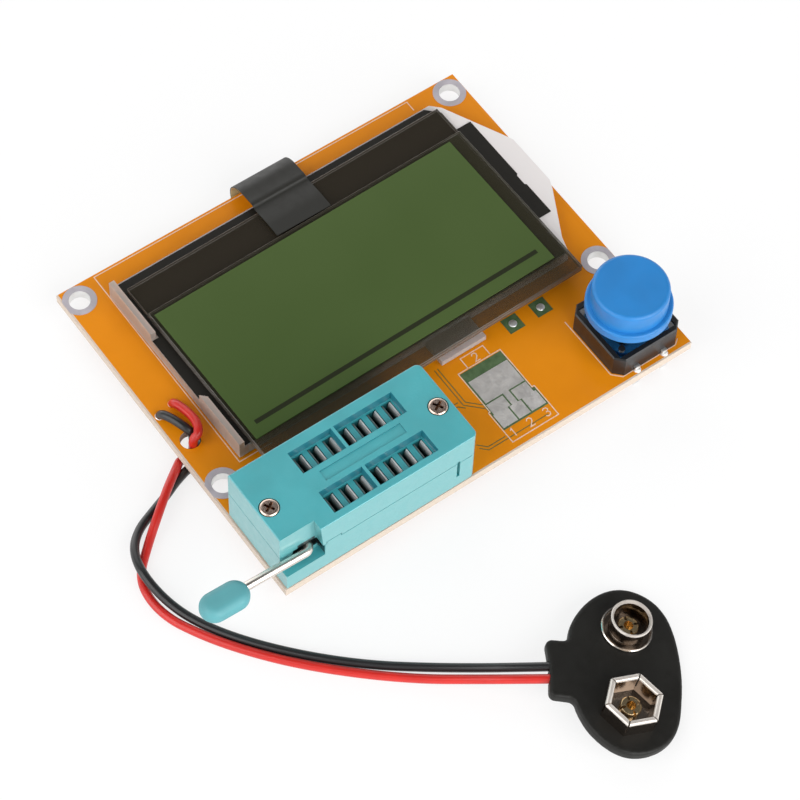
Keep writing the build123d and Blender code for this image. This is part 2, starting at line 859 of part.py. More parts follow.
controller_centre = (40.0, 36.0)
controller_side = 7.0
controller_leads = 8
lead_pitch = 0.8
with BuildPart() as microcontroller:
    with BuildSketch(level(under - 0.1)):
        with Locations(controller_centre):
            Rectangle(controller_side, controller_side)
    extrude(amount=-1.0)
    chamfer(microcontroller.edges().filter_by(Axis.Z), 0.4)
    with BuildSketch(level(under)):
        with Locations(controller_centre):
            with GridLocations(lead_pitch, controller_side + 1.4, controller_leads, 2):
                Rectangle(0.37, 0.7)
            with GridLocations(controller_side + 1.4, lead_pitch, 2, controller_leads):
                Rectangle(0.7, 0.37)
    extrude(amount=-0.15)
    with BuildSketch(level(under - 0.15)):
        with Locations(controller_centre):
            with GridLocations(lead_pitch, controller_side + 0.4, controller_leads, 2):
                Rectangle(0.37, 0.8)
            with GridLocations(controller_side + 0.4, lead_pitch, 2, controller_leads):
                Rectangle(0.8, 0.37)
    extrude(amount=-0.5)
finish(microcontroller, "microcontroller")

with BuildPart() as crystal:
    extrude(blocks(under, [(29.0, 37.0)], 5.0, 3.2), amount=-0.5)
    with BuildSketch(level(under - 0.5)):
        with Locations((29.0, 37.0)):
            RectangleRounded(4.5, 2.7, 0.5)
    extrude(amount=-0.5)
finish(crystal, "crystal")


def small_outline(places, length, width, height, leads):
    """Moulded bodies with leads; each lead has its place beside the body and its width."""
    with BuildPart() as moulding:
        extrude(blocks(under - 0.1, places, length, width), amount=-height)
        for along, depth, lead_width in leads:
            feet = [(x + along, y + depth) for x, y in places]
            extrude(blocks(under, feet, lead_width, 0.9), amount=-0.3)
    return moulding


transistor_leads = [(-0.95, -0.85, 0.45), (0.95, -0.85, 0.45), (0, 0.85, 0.45)]
regulator_leads = [(-1.5, -1.6, 0.45), (0, -1.6, 0.5), (1.5, -1.6, 0.45), (0, 1.5, 1.7)]
transistor_places = [(15.0, 38.0), (15.0, 43.5), (62.0, 22.0)]

voltage_regulator = small_outline([(15.0, 30.0)], 4.5, 2.5, 1.4, regulator_leads)
finish(voltage_regulator, "voltage_regulator")
voltage_reference = small_outline([(22.0, 29.0)], 2.9, 1.3, 0.95, transistor_leads)
finish(voltage_reference, "voltage_reference")
transistors = small_outline(transistor_places, 2.9, 1.3, 0.95, transistor_leads)
finish(transistors, "transistors")

with BuildPart() as chip_resistors:
    with BuildSketch(level(under)):
        with Locations((22.0, 22.0)):
            with GridLocations(3.4, 2.4, 5, 2):
                Rectangle(2.0, 1.25)
        with Locations((53.0, 34.0)):
            with GridLocations(3.4, 2.6, 2, 4):
                Rectangle(2.0, 1.25)
    extrude(amount=-0.5)
finish(chip_resistors, "chip_resistors")

with BuildPart() as chip_capacitors:
    with BuildSketch(level(under)):
        with Locations((40.0, 48.0)):
            with GridLocations(3.4, 1, 5, 1):
                Rectangle(2.0, 1.25)
        with Locations((62.5, 34.0)):
            with GridLocations(1, 3.0, 1, 3):
                Rectangle(2.0, 1.25)
    extrude(amount=-0.9)
finish(chip_capacitors, "chip_capacitors")

tantalum_places = [(9.5, 51.0), (62.0, 51.0)]
tantalum_feet = [(x + side * 1.7, y) for x, y in tantalum_places for side in (-1, 1)]
with BuildPart() as tantalum_capacitors:
    extrude(blocks(under - 0.1, tantalum_places, 3.5, 2.8), amount=-(board_gap - 0.1))
    extrude(blocks(under, tantalum_feet, 0.7, 2.2), amount=-1.0)
finish(tantalum_capacitors, "tantalum_capacitors")

# ---------------------------------------------------------------- battery lead

# Each wire is soldered from above, dips through the relief hole and leaves under the board's
# left edge. The free stretches start there and lie on the surface as far as the battery snap.
wire_floor = floor + lead_r + snap_clear

black_held = [
    (1.15, 33.3, 0.95),
    (1.9, 31.9, 1.35),
    (2.55, 30.1, 1.4),
    (3.3, 28.5, 0.7),
    (3.3, 28.5, -1.9),
    (4.3, 27.6, wire_floor),
    (3.7, 25.9, wire_floor),
    (1.4, 25.75, wire_floor),
    (0.0, 25.6, wire_floor),
]
black_held_bends = [2.0, 2.0, 0.9, 0.8, 0.72, 0.8, 2.0]
red_held = [
    (3.8, 34.0, 0.95),
    (4.35, 31.6, 1.4),
    (4.5, 29.2, 1.85),
    (3.6, 27.25, 2.0),
    (2.53, 27.3, 1.3),
    (2.53, 27.3, -1.95),
    (1.2, 27.49, wire_floor + 0.21),
    (0.0, 27.25, wire_floor + 0.3),
]
red_held_bends = [2.0, 2.0, 0.75, 0.75, 0.75, 0.9]

black_free = [
    (0.0, 25.6, wire_floor),
    (-1.8, 25.4, wire_floor),
    (-4.5, 24.4, wire_floor),
    (-7.6, 23.1, wire_floor),
    (-11.1, 21.2, wire_floor + 0.2),
    (-13.9, 18.0, wire_floor + 1.4),
    (-14.9, 13.2, wire_floor + 2.0),
    (-13.7, 7.7, wire_floor + 0.3),
    (-11.2, 2.3, wire_floor),
    (-7.3, -3.4, wire_floor),
    (-2.1, -9.4, wire_floor),
    (4.0, -15.2, wire_floor),
    (10.4, -20.2, wire_floor + 0.2),
    (15.6, -24.5, wire_floor + 1.2),
    (19.6, -28.1, wire_floor + 2.7),
    (23.4, -30.9, wire_floor + 3.2),
]
red_free = [
    (0.0, 27.25, wire_floor + 0.3),
    (-2.0, 26.85, wire_floor + 0.45),
    (-4.4, 25.1, wire_floor + 1.6),
    (-7.0, 22.6, wire_floor + 1.7),
    (-11.0, 18.6, wire_floor + 0.1),
    (-15.4, 14.5, wire_floor),
    (-15.7, 8.2, wire_floor),
    (-12.7, 2.0, wire_floor),
    (-8.6, -4.0, wire_floor),
    (-3.75, -9.75, wire_floor),
    (2.3, -15.7, wire_floor),
    (8.4, -21.0, wire_floor + 0.2),
    (13.8, -25.4, wire_floor + 1.2),
    (18.0, -29.2, wire_floor + 2.7),
    (22.4, -32.5, wire_floor + 3.2),
]


def wide_bends(points):
    """Radii of the arcs that are as large as the runs beside each corner allow."""
    radii = []
    places = [Vector(*point) for point in points]
    for before, here, after in zip(places, places[1:], places[2:]):
        turn = radians((here - before).get_angle(after - here))
        shorter = min((here - before).length, (after - here).length)
        radii.append(0.45 * shorter / tan(turn / 2))
    return radii


def lay_wire(points, radii, name):
    """Wire of straight runs and tangent arcs along points given from the board's corner."""
    with BuildPart() as wire:
        with BuildLine() as line:
            FilletPolyline(*[corner + Vector(*point) for point in points], radius=radii)
        with BuildSketch(Plane(origin=line.line @ 0, z_dir=line.line % 0)):
            Circle(lead_r)
        sweep()
    run = line.wire().length
    print(name, "length", round(run, 1), "radii", [round(r, 1) for r in radii])
    print(name, "volume over section x length", round(wire.part.volume / (pi * lead_r**2 * run), 4))
    return wire


black_lead_held = lay_wire(black_held, black_held_bends, "black_lead_held")
finish(black_lead_held, "black_lead_held")
red_lead_held = lay_wire(red_held, red_held_bends, "red_lead_held")
finish(red_lead_held, "red_lead_held")
black_lead_free = lay_wire(black_free, wide_bends(black_free), "black_lead_free")
finish(black_lead_free, "black_lead_free")
red_lead_free = lay_wire(red_free, wide_bends(red_free), "red_lead_free")
finish(red_lead_free, "red_lead_free")

with BuildPart() as lead_solder:
    for place in solder_places.values():
        with BuildSketch(level(0)):
            with Locations(place):
                Circle(1.05)
        extrude(amount=1.0, taper=22)
        with BuildSketch(level(-board_thickness - 0.5)):
            with Locations(place):
                Circle(lead_hole_r - 0.02)
        extrude(amount=board_thickness + 0.5)
    for points in (black_held, red_held):
        start, second = corner + Vector(*points[0]), corner + Vector(*points[1])
        with BuildSketch(Plane(origin=start, z_dir=second - start)):
            Circle(lead_r + 0.01)
        extrude(amount=(second - start).length, mode=Mode.SUBTRACT)
finish(lead_solder, "lead_solder")

# Battery snap: leans a little, with the side where the wires enter raised.
snap_middle = (32.18, -36.88)
snap_turn = -126.64
snap_lean = (-10.2, -3.0)
snap_height = floor + 2.85
snap_place = Location(corner + Vector(*snap_middle, snap_height)) * Location((0, 0, 0), (0, 0, snap_turn))
snap_plane = Plane(snap_place * Location((0, 0, 0), (*snap_lean, 0)))
cover_thickness = 1.8
cover_skin = 0.45
carrier_thickness = 0.7
carrier_bottom = -cover_skin - carrier_thickness
rivet_r = 0.9
rivet_head = 0.3
stud_along, socket_along = -snap_pitch / 2, snap_pitch / 2
socket_corner_r = 4.3


def snap_level(height):
    """Plane of the snap, at a height over its soft cover's top; x runs from stud to socket."""
    return snap_plane.offset(height)


with BuildPart() as snap_cover:
    with BuildSketch(snap_level(-cover_thickness)) as snap_cover_plan:
        with BuildLine():
            Spline(
                (-3.6, -8.3),
                (-10.0, -5.75),
                (-13.0, 0),
                (-10.85, 4.9),
                (-5.75, 7.25),
                (4.5, 7.7),
                (10.45, 5.9),
                (13.2, 0),
                (9.7, -5.6),
                (5.5, -7.6),
            )
            Line((5.5, -7.6), (5.45, -11.15))
            ThreePointArc((5.45, -11.15), (1.2, -11.15), (-3.55, -11.75))
            Line((-3.55, -11.75), (-3.6, -8.3))
        make_face()
        fillet(snap_cover_plan.vertices(), 0.9)
    extrude(amount=cover_thickness)
    snap_up = snap_plane.z_dir
    round_edges = snap_cover.edges().filter_by(lambda edge: abs((edge % 0.5).dot(snap_up)) < 0.5)
    fillet(round_edges, 0.4)
    # rests flat on the surface under the object
    split(bisect_by=level(floor + snap_clear), keep=Keep.TOP)
    with BuildSketch(snap_level(carrier_bottom)):
        SlotOverall(22.6, 9.6)
    extrude(amount=carrier_thickness, mode=Mode.SUBTRACT)
    for along in (stud_along, socket_along):
        with BuildSketch(snap_level(carrier_bottom - rivet_head)):
            with Locations((along, 0)):
                Circle(1.75)
        extrude(amount=rivet_head, mode=Mode.SUBTRACT)
        with BuildSketch(snap_level(-cover_skin)):
            with Locations((along, 0)):
                Circle(rivet_r + 0.02)
        extrude(amount=cover_skin, mode=Mode.SUBTRACT)
    # blind holes that the wires end in
    for points in (black_free, red_free):
        end, before = corner + Vector(*points[-1]), corner + Vector(*points[-2])
        with BuildSketch(Plane(origin=end, z_dir=before - end)):
            Circle(lead_r + 0.01)
        extrude(amount=(before - end).length, mode=Mode.SUBTRACT)
finish(snap_cover, "snap_cover")

with BuildPart() as snap_carrier:
    with BuildSketch(snap_level(carrier_bottom)):
        SlotOverall(22.5, 9.5)
        with Locations((stud_along, 0), (socket_along, 0)):
            Circle(rivet_r + 0.02, mode=Mode.SUBTRACT)
    extrude(amount=carrier_thickness)
finish(snap_carrier, "snap_carrier")

flange_thickness = 0.3
stud_profile = [
    (rivet_r + 0.02, 0),
    (3.55, 0),
    (3.73, 0.2),
    (3.75, 0.45),
    (3.64, 0.6),
    (3.5, 0.58),
    (3.4, 0.38),
    (3.3, flange_thickness),
    (2.75, flange_thickness),
    (2.6, 0.55),
    (2.55, 1.4),
    (2.7, 2.4),
    (2.96, 2.9),
    (3.0, 3.15),
    (2.9, 3.38),
    (2.72, 3.35),
    (2.52, 2.9),
    (2.35, 2.3),
    (2.25, 1.3),
    (2.2, flange_thickness),
    (rivet_r + 0.02, flange_thickness),
]
stud_side = snap_plane.shift_origin(snap_plane.from_local_coords(Vector(stud_along, 0, 0)))
with BuildPart() as snap_stud:
    with BuildSketch(Plane(origin=stud_side.origin, x_dir=snap_plane.x_dir, z_dir=-snap_plane.y_dir)):
        with BuildLine():
            Polyline(stud_profile, close=True)
        make_face()
    revolve(axis=Axis(stud_side.origin, snap_plane.z_dir))
finish(snap_stud, "snap_stud")

# Six-sided socket: a band rolled over into a broad round rim, with a slit across each corner, and
# funnelled on the inside.
socket_height = 3.1
socket_mouth_r = 3.5
rim_round = 0.34
slit_width = 0.22
corner_angle = -12.5
with BuildPart() as snap_socket:
    with BuildSketch(snap_level(0)):
        with Locations((socket_along, 0)):
            RegularPolygon(socket_corner_r + 0.1, 6, rotation=corner_angle)
    extrude(amount=socket_height)
    with BuildSketch(snap_level(socket_height)):
        with Locations((socket_along, 0)):
            RegularPolygon(socket_mouth_r, 6, rotation=corner_angle)
    extrude(amount=flange_thickness - socket_height, taper=6, mode=Mode.SUBTRACT)
    rim = snap_socket.faces().sort_by(Axis(snap_plane.origin, snap_up))[-1]
    fillet(rim.edges(), rim_round)
    with BuildSketch(snap_level(1.1)):
        with Locations((socket_along, 0)):
            with PolarLocations(socket_corner_r - 0.6, 6, start_angle=corner_angle):
                Rectangle(2.4, slit_width)
    extrude(amount=socket_height, mode=Mode.SUBTRACT)
    with BuildSketch(snap_level(0)):
        with Locations((socket_along, 0)):
            Circle(rivet_r + 0.02)
    extrude(amount=flange_thickness, mode=Mode.SUBTRACT)
finish(snap_socket, "snap_socket")

# Tubular rivets, split and rolled over inside the stud and the socket.
rivet_bore_r = 0.7
rolled_r, rolled_height = 1.55, 0.95
with BuildPart() as snap_rivets:
    with BuildSketch(snap_level(carrier_bottom - rivet_head)):
        with Locations((stud_along, 0), (socket_along, 0)):
            Circle(1.6)
    extrude(amount=rivet_head)
    with BuildSketch(snap_level(carrier_bottom)):
        with Locations((stud_along, 0), (socket_along, 0)):
            Circle(rivet_r)
    extrude(amount=flange_thickness - carrier_bottom)
    with BuildSketch(snap_level(flange_thickness)):
        with Locations((stud_along, 0), (socket_along, 0)):
            Circle(rolled_r)
    extrude(amount=rolled_height)
    fillet(snap_rivets.faces().sort_by(Axis(snap_plane.origin, snap_up))[-2:].edges(), 0.25)
    with BuildSketch(snap_level(flange_thickness)):
        for along in (stud_along, socket_along):
            with Locations((along, 0)):
                with PolarLocations(1.3, 4, start_angle=20):
                    Rectangle(0.9, 0.34)
    extrude(amount=rolled_height, mode=Mode.SUBTRACT)
    with BuildSketch(snap_level(carrier_bottom)):
        with Locations((stud_along, 0), (socket_along, 0)):
            Circle(rivet_bore_r)
    extrude(amount=flange_thickness - carrier_bottom + rolled_height, mode=Mode.SUBTRACT)
finish(snap_rivets, "snap_rivets")
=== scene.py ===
# %% [markdown]
# # A component tester in its own light
#
# The tester is an open orange board with a graphic display, a lever test socket, a round push
# button and a battery connector at the end of two thin wires. Its solid parts come ready made from
# the frame. This file gives them their finishes, adds what is too thin or too soft for solid
# modelling, and sets up a plain table top, soft light and one camera. Blender's lengths are metres,
# and MM is a millimetre. Named sizes and places are in millimetres unless they say otherwise.

from math import pi, radians

import bmesh
import bpy
from mathutils import Matrix, Vector, noise


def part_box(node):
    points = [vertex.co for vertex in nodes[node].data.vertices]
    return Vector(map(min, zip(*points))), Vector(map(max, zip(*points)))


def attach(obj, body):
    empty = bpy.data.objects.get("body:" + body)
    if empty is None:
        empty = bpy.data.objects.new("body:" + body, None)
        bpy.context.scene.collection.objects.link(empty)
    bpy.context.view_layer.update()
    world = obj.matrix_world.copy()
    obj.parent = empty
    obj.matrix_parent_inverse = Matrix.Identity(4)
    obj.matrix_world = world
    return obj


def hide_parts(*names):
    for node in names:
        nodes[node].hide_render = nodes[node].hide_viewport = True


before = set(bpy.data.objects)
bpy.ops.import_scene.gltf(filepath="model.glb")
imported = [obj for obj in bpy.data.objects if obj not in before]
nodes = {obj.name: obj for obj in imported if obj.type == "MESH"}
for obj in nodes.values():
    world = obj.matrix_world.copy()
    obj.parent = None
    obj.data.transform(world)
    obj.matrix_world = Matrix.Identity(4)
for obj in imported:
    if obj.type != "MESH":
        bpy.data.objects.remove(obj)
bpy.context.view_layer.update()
MM = 0.001
print("nodes in the frame:", len(nodes))

# %% [markdown]
# ## Where things are
#
# The board's front left corner and its top face are the natural place to measure from, as the
# maker of the board would. The frame says where that corner is.

# %% Board corner
board_low, board_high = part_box("circuit_board")
CORNER = Vector((board_low.x, board_low.y, board_high.z))
BOARD_SIZE = (board_high - board_low) / MM
UNDERSIDE = -BOARD_SIZE.z
PAST = 5  # well beyond the board on any side, for a mask that needn't end there


def place(along, depth, height=0.0):
    """A point in millimetres from the board's front left corner and top face."""
    return CORNER + Vector((along, depth, height)) * MM


print("board", [round(side, 2) for side in BOARD_SIZE])

# %% [markdown]
# ## Material helpers
#
# Most finishes here are moulded plastic or plated metal: one base colour that drifts a little, a
# fine bump from the mould or the drawing die, and a roughness that is broken up so that highlights
# aren't perfectly even. One small builder makes the node tree's usual parts, and each finish then
# adds what is its own.


# %% Node tree helper
class Finish:
    """A material with a few shorthands for adding and joining nodes."""

    def __init__(self, name, colour, roughness, metallic=0.0):
        self.material = bpy.data.materials.new(name)
        self.material.use_nodes = True
        self.tree = self.material.node_tree
        self.shader = self.tree.nodes["Principled BSDF"]
        self.shader.inputs["Base Color"].default_value = (*colour, 1)
        self.shader.inputs["Roughness"].default_value = roughness
        self.shader.inputs["Metallic"].default_value = metallic
        self.material.diffuse_color = (*colour, 1)
        self.coordinates = self.tree.nodes.new("ShaderNodeTexCoord").outputs["Object"]

    def node(self, kind, **values):
        """Add a node. Values name its properties or its input sockets."""
        made = self.tree.nodes.new("ShaderNode" + kind)
        for key, value in values.items():
            if hasattr(made, key):
                setattr(made, key, value)
            else:
                made.inputs[key.replace("_", " ")].default_value = value
        return made

    def join(self, output, socket):
        self.tree.links.new(output, socket)

    def scaled(self, x, y, z):
        """Object coordinates stretched along each axis, for grain that runs one way."""
        mapping = self.node("Mapping")
        mapping.inputs["Scale"].default_value = (x, y, z)
        self.join(self.coordinates, mapping.inputs["Vector"])
        return mapping.outputs["Vector"]

    def noise(self, scale, detail=3.0, roughness=0.5, vector=None):
        """Noise of a scale per metre."""
        made = self.node("TexNoise", Scale=scale, Detail=detail, Roughness=roughness)
        self.join(vector or self.coordinates, made.inputs["Vector"])
        return made.outputs["Fac"]

    def ramp(self, value, stops):
        """Map a value to colours or levels at the given positions."""
        made = self.node("ValToRGB")
        ramp = made.color_ramp
        while len(ramp.elements) < len(stops):
            ramp.elements.new(0.5)
        for element, (position, colour) in zip(ramp.elements, stops):
            element.position = position
            element.color = (*colour, 1) if isinstance(colour, tuple) else (colour,) * 3 + (1,)
        self.join(value, made.inputs["Fac"])
        return made.outputs["Color"]

    def mix(self, factor, first, second):
        """Blend two colours, each a socket or a colour."""
        made = self.node("Mix", data_type="RGBA")
        for value, socket in ((factor, 0), (first, 6), (second, 7)):
            if isinstance(value, bpy.types.NodeSocket):
                self.join(value, made.inputs[socket])
            elif socket:
                made.inputs[socket].default_value = (*value, 1)
            else:
                made.inputs[socket].default_value = value
        return made.outputs[2]

    def math(self, operation, first, second=0.0):
        """One arithmetic step between sockets or numbers."""
        made = self.node("Math", operation=operation)
        for value, socket in ((first, 0), (second, 1)):
            if isinstance(value, bpy.types.NodeSocket):
                self.join(value, made.inputs[socket])
            else:
                made.inputs[socket].default_value = value
        return made.outputs[0]

    def within(self, low, high):
        """A mask that is 1 inside a box, whose corners are given from the board's corner."""
        axes = self.node("SeparateXYZ")
        self.join(self.coordinates, axes.inputs[0])
        inside = 1.0
        for axis, start, end in zip("XYZ", place(*low), place(*high)):
            for test, limit in (("GREATER_THAN", start), ("LESS_THAN", end)):
                inside = self.math("MULTIPLY", self.math(test, axes.outputs[axis], limit), inside)
        return inside

    def vector_math(self, operation, first, second, result="Value"):
        """One step between two vectors, each a socket or three numbers."""
        made = self.node("VectorMath", operation=operation)
        for value, socket in ((first, made.inputs[0]), (second, made.inputs[1])):
            if isinstance(value, bpy.types.NodeSocket):
                self.join(value, socket)
            else:
                socket.default_value = value
        return made.outputs[result]

    def height_along(self, axis):
        """How far the surface lies along a direction, in metres."""
        return self.vector_math("DOT_PRODUCT", self.coordinates, axis)

    def off_axis(self, middle, axis):
        """How far the surface lies from a line through a point, in metres."""
        arm = self.vector_math("SUBTRACT", self.coordinates, middle, "Vector")
        across = self.vector_math("CROSS_PRODUCT", arm, axis, "Vector")
        return self.vector_math("LENGTH", across, (0, 0, 0))

    def facing(self):
        """The parts of the surface's own direction."""
        parts = self.node("SeparateXYZ")
        self.join(self.node("NewGeometry").outputs["True Normal"], parts.inputs[0])
        return parts.outputs

    def paint(self, mask, colour):
        """Another colour where the mask is 1, over the base colour so far."""
        below = self.shader.inputs["Base Color"].links[0].from_socket
        self.set(Base_Color=self.mix(mask, below, colour))

    def set(self, **values):
        """Set or join the shader's own sockets."""
        for key, value in values.items():
            socket = self.shader.inputs[key.replace("_", " ")]
            if isinstance(value, bpy.types.NodeSocket):
                self.join(value, socket)
            else:
                socket.default_value = value

    def bump(self, height, distance, strength=1.0):
        """Raise the surface by a height map; distance is in metres."""
        made = self.node("Bump", Strength=strength, Distance=distance)
        self.join(height, made.inputs["Height"])
        if self.shader.inputs["Normal"].is_linked:
            earlier = self.shader.inputs["Normal"].links[0].from_socket
            self.join(earlier, made.inputs["Normal"])
        self.join(made.outputs["Normal"], self.shader.inputs["Normal"])


def wear(*names):
    """Give parts of the frame their finish, by name."""

    def give(finish):
        for name in names:
            slots = nodes[name].data.materials
            slots.clear()
            slots.append(finish.material)

    return give


# %% [markdown]
# ## Adding pieces
#
# A new piece sits at the origin with its place in its mesh, as the ready made ones do. All of them
# ride on the board's body, and a piece may stand in for a part of the frame. Where it starts from
# that part's own mesh, the mesh is loose triangles, so its corners are merged first.

# %% New pieces and merged copies
SHARP = radians(35)  # where two faces turn by more than this, the edge between them stays crisp


def new_piece(name, shape, finish, replaces=()):
    """Turn a bmesh into a piece that rides on the board and takes its finish from a slot."""
    bmesh.ops.recalc_face_normals(shape, faces=shape.faces)
    mesh = bpy.data.meshes.new(name)
    shape.to_mesh(mesh)
    shape.free()
    mesh.materials.append(finish.material)
    piece = bpy.data.objects.new(name, mesh)
    bpy.context.scene.collection.objects.link(piece)
    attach(piece, "root")
    if replaces:
        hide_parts(*replaces)
    return piece


def merged_copy(node):
    """The shape of one of the frame's parts, with its loose triangles joined up."""
    shape = bmesh.new()
    shape.from_mesh(nodes[node].data)
    bmesh.ops.remove_doubles(shape, verts=shape.verts, dist=0.001 * MM)
    return shape


def finished_mesh(piece):
    """A piece's mesh with its modifiers made part of it, which leaves the piece without any."""
    graph = bpy.context.evaluated_depsgraph_get()
    mesh = bpy.data.meshes.new_from_object(piece.evaluated_get(graph))
    piece.modifiers.clear()
    return mesh


def settle(piece):
    """Make a piece's modifiers part of its mesh, smooth its faces and keep its hard edges crisp."""
    piece.data = finished_mesh(piece)
    piece.data.shade_smooth()
    piece.data.set_sharp_from_angle(angle=SHARP)


def spline_curve(name, points, steps):
    """A smooth spline whose control points are given from the board's corner."""
    curve = bpy.data.curves.new(name, "CURVE")
    curve.dimensions = "3D"
    curve.resolution_u = steps
    spline = curve.splines.new("NURBS")
    spline.points.add(len(points) - 1)
    for point, (along, depth, height) in zip(spline.points, points):
        point.co = (*place(along, depth, height), 1)
    spline.order_u = 3
    spline.use_endpoint_u = True
    return curve


def spline_line(name, points, steps):
    """Points along a smooth spline, in metres."""
    holder = bpy.data.objects.new(name, spline_curve(name, points, steps))
    line = bpy.data.meshes.new_from_object(holder)
    found = [vertex.co.copy() for vertex in line.vertices]
    bpy.data.objects.remove(holder)
    return found


def domes(name, places, finish, replaces=()):
    """Drops of solder. Each place is along, depth, base height, radius and rise."""
    shape = bmesh.new()
    for along, depth, base, radius, rise in places:
        drop = bmesh.ops.create_uvsphere(shape, u_segments=28, v_segments=14, radius=1.0)["verts"]
        size = Vector((radius, radius, rise)) * MM
        bmesh.ops.scale(shape, vec=size, verts=drop)
        bmesh.ops.translate(shape, vec=place(along, depth, base), verts=drop)
    new_piece(name, shape, finish, replaces=replaces).data.shade_smooth()


# %% [markdown]
# ## Moulded plastic
#
# Injection-moulded parts show a faint orange peel and slow drifts of colour where the melt cooled
# unevenly. A very fine noise gives the peel as bump, and a coarse one shifts the colour by a few
# percent. The same recipe serves the socket, the switch and the cap with different numbers.


# %% Moulded plastic
DRIFT = 0.06  # how far the colour wanders either way


def moulded(name, colour, roughness, peel=0.006, coat=0.0, ior=1.5):
    """Moulded plastic: colour drift, fine peel and broken roughness."""
    finish = Finish(name, colour, roughness)
    darker = tuple(channel * (1 - DRIFT) for channel in colour)
    lighter = tuple(min(1.0, channel * (1 + DRIFT)) for channel in colour)
    slow = finish.noise(180.0, 2.0)
    finish.set(Base_Color=finish.ramp(slow, [(0.35, darker), (0.65, lighter)]))
    grain = finish.noise(2600.0, 4.0, 0.6)
    finish.bump(grain, peel * MM, 0.8)
    broken = finish.ramp(finish.noise(900.0), [(0.3, roughness * 0.85), (0.7, roughness * 1.15)])
    finish.set(Roughness=broken)
    if coat:
        finish.set(Coat_Weight=coat, Coat_Roughness=0.12)
    finish.set(IOR=ior)
    return finish


# %% Socket, switch and cap
TEAL = (0.056, 0.372, 0.412)
LIT_WALL_TEAL = (0.112, 0.400, 0.415)
SOCKET_DARK = (0.012, 0.030, 0.032)
socket_plastic = moulded("socket_plastic", TEAL, 0.40, 0.034, coat=0.5, ior=1.78)
# The walls are painted paler than the grained top: painted light on the side faces.
is_wall = socket_plastic.math("LESS_THAN", socket_plastic.facing()["Z"], 0.5)
socket_plastic.paint(is_wall, LIT_WALL_TEAL)
# The sunk fields round the holes lie in shade: the holes' own walls, the floors of the fields and
# the fields' walls. Each shade reaches from one height to another, where its mask is 1.
FIELDS_LEFT, FIELDS_RIGHT, FIELDS_FRONT, FIELDS_BACK = 7.8, 27.9, 1.2, 13.2
FIELD_SHADES = [
    (6.95, 9.9, 1.0, (0.020, 0.150, 0.170)),
    (9.9, 10.25, 1.0, (0.034, 0.340, 0.380)),
    (10.25, 11.38, is_wall, (0.006, 0.165, 0.215)),
]
for bottom, top, where, shade in FIELD_SHADES:
    field = socket_plastic.within(
        (FIELDS_LEFT, FIELDS_FRONT, bottom), (FIELDS_RIGHT, FIELDS_BACK, top)
    )
    socket_plastic.paint(socket_plastic.math("MULTIPLY", field, where), shade)
# Little light gets into the socket: its inside, and the mouth that the lever goes in by, look dark.
# Each box runs from its lowest corner to its highest.
SOCKET_INSIDE = [
    ((2.3, 1.8, 3.4), (29.1, 12.6, 6.95)),
    ((3.2, 1.6, 4.7), (6.1, 2.5, 7.0)),
    ((6.55, 0.2, 3.7), (7.4, 1.8, 5.9)),
]
for low, high in SOCKET_INSIDE:
    socket_plastic.paint(socket_plastic.within(low, high), SOCKET_DARK)
wear("zif_base", "zif_cover", "zif_slider")(socket_plastic)
wear("switch_body", "switch_plunger")(moulded("switch_plastic", (0.010, 0.010, 0.011), 0.34))
wear("button_cap")(moulded("cap_plastic", (0.019, 0.208, 0.55), 0.38, 0.006))
print("moulded finishes made")

# %% [markdown]
# ## Metals
#
# Tinned, nickel-plated and drawn metal differ in colour and in the direction of their fine marks.
# A stretched noise gives drawing marks along a wire or rolled sheet, and an even one gives plating.


# %% Metal
def metal(name, colour, roughness, marks=(1.0, 1.0, 1.0), depth=0.004, scale=1500.0, bare=1.0):
    """Plated or drawn metal with fine marks stretched along an axis. Less bare is more matt."""
    finish = Finish(name, colour, roughness, metallic=bare)
    along = finish.scaled(*marks)
    fine = finish.noise(scale, 4.0, 0.6, along)
    finish.bump(fine, depth * MM, 0.6)
    finish.set(Roughness=finish.ramp(fine, [(0.25, roughness * 0.7), (0.75, roughness * 1.4)]))
    shade = tuple(channel * 0.82 for channel in colour)
    finish.set(Base_Color=finish.ramp(finish.noise(260.0), [(0.3, shade), (0.7, colour)]))
    return finish


# %% Contacts
matt_tin = metal("matt_tin", (0.93, 0.94, 0.94), 0.36, (1.0, 1.0, 0.15), bare=0.55)
# The lips of the contacts are bright at the top and dark further down, where little light gets in.
# The left leaf of each contact lies in the shade of the hole's wall.
CONTACT_PITCH, LIP_HEIGHT = 2.54, 1.2
CONTACT_SHADE, LEFT_LEAF_SHADE = (0.045, 0.115, 0.115), 0.85
contacts_low, contacts_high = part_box("zif_contacts")
below_lip = matt_tin.math("SUBTRACT", contacts_high.z, matt_tin.height_along((0, 0, 1)))
shaded = matt_tin.ramp(
    matt_tin.math("DIVIDE", below_lip, LIP_HEIGHT * MM), [(0.25, 0.0), (0.6, 0.55), (1.0, 1.0)]
)
between_contacts = (contacts_low.x + contacts_high.x) / 2 - CONTACT_PITCH / 2 * MM
along_row = matt_tin.math("SUBTRACT", matt_tin.height_along((1, 0, 0)), between_contacts)
in_pitch = matt_tin.math("FRACT", matt_tin.math("DIVIDE", along_row, CONTACT_PITCH * MM))
left_leaf = matt_tin.math("LESS_THAN", in_pitch, 0.5)
shaded = matt_tin.math("MAXIMUM", shaded, matt_tin.math("MULTIPLY", left_leaf, LEFT_LEAF_SHADE))
over_board = matt_tin.math("GREATER_THAN", matt_tin.height_along((0, 0, 1)), CORNER.z)
matt_tin.paint(matt_tin.math("MULTIPLY", shaded, over_board), CONTACT_SHADE)
wear("zif_contacts")(matt_tin)

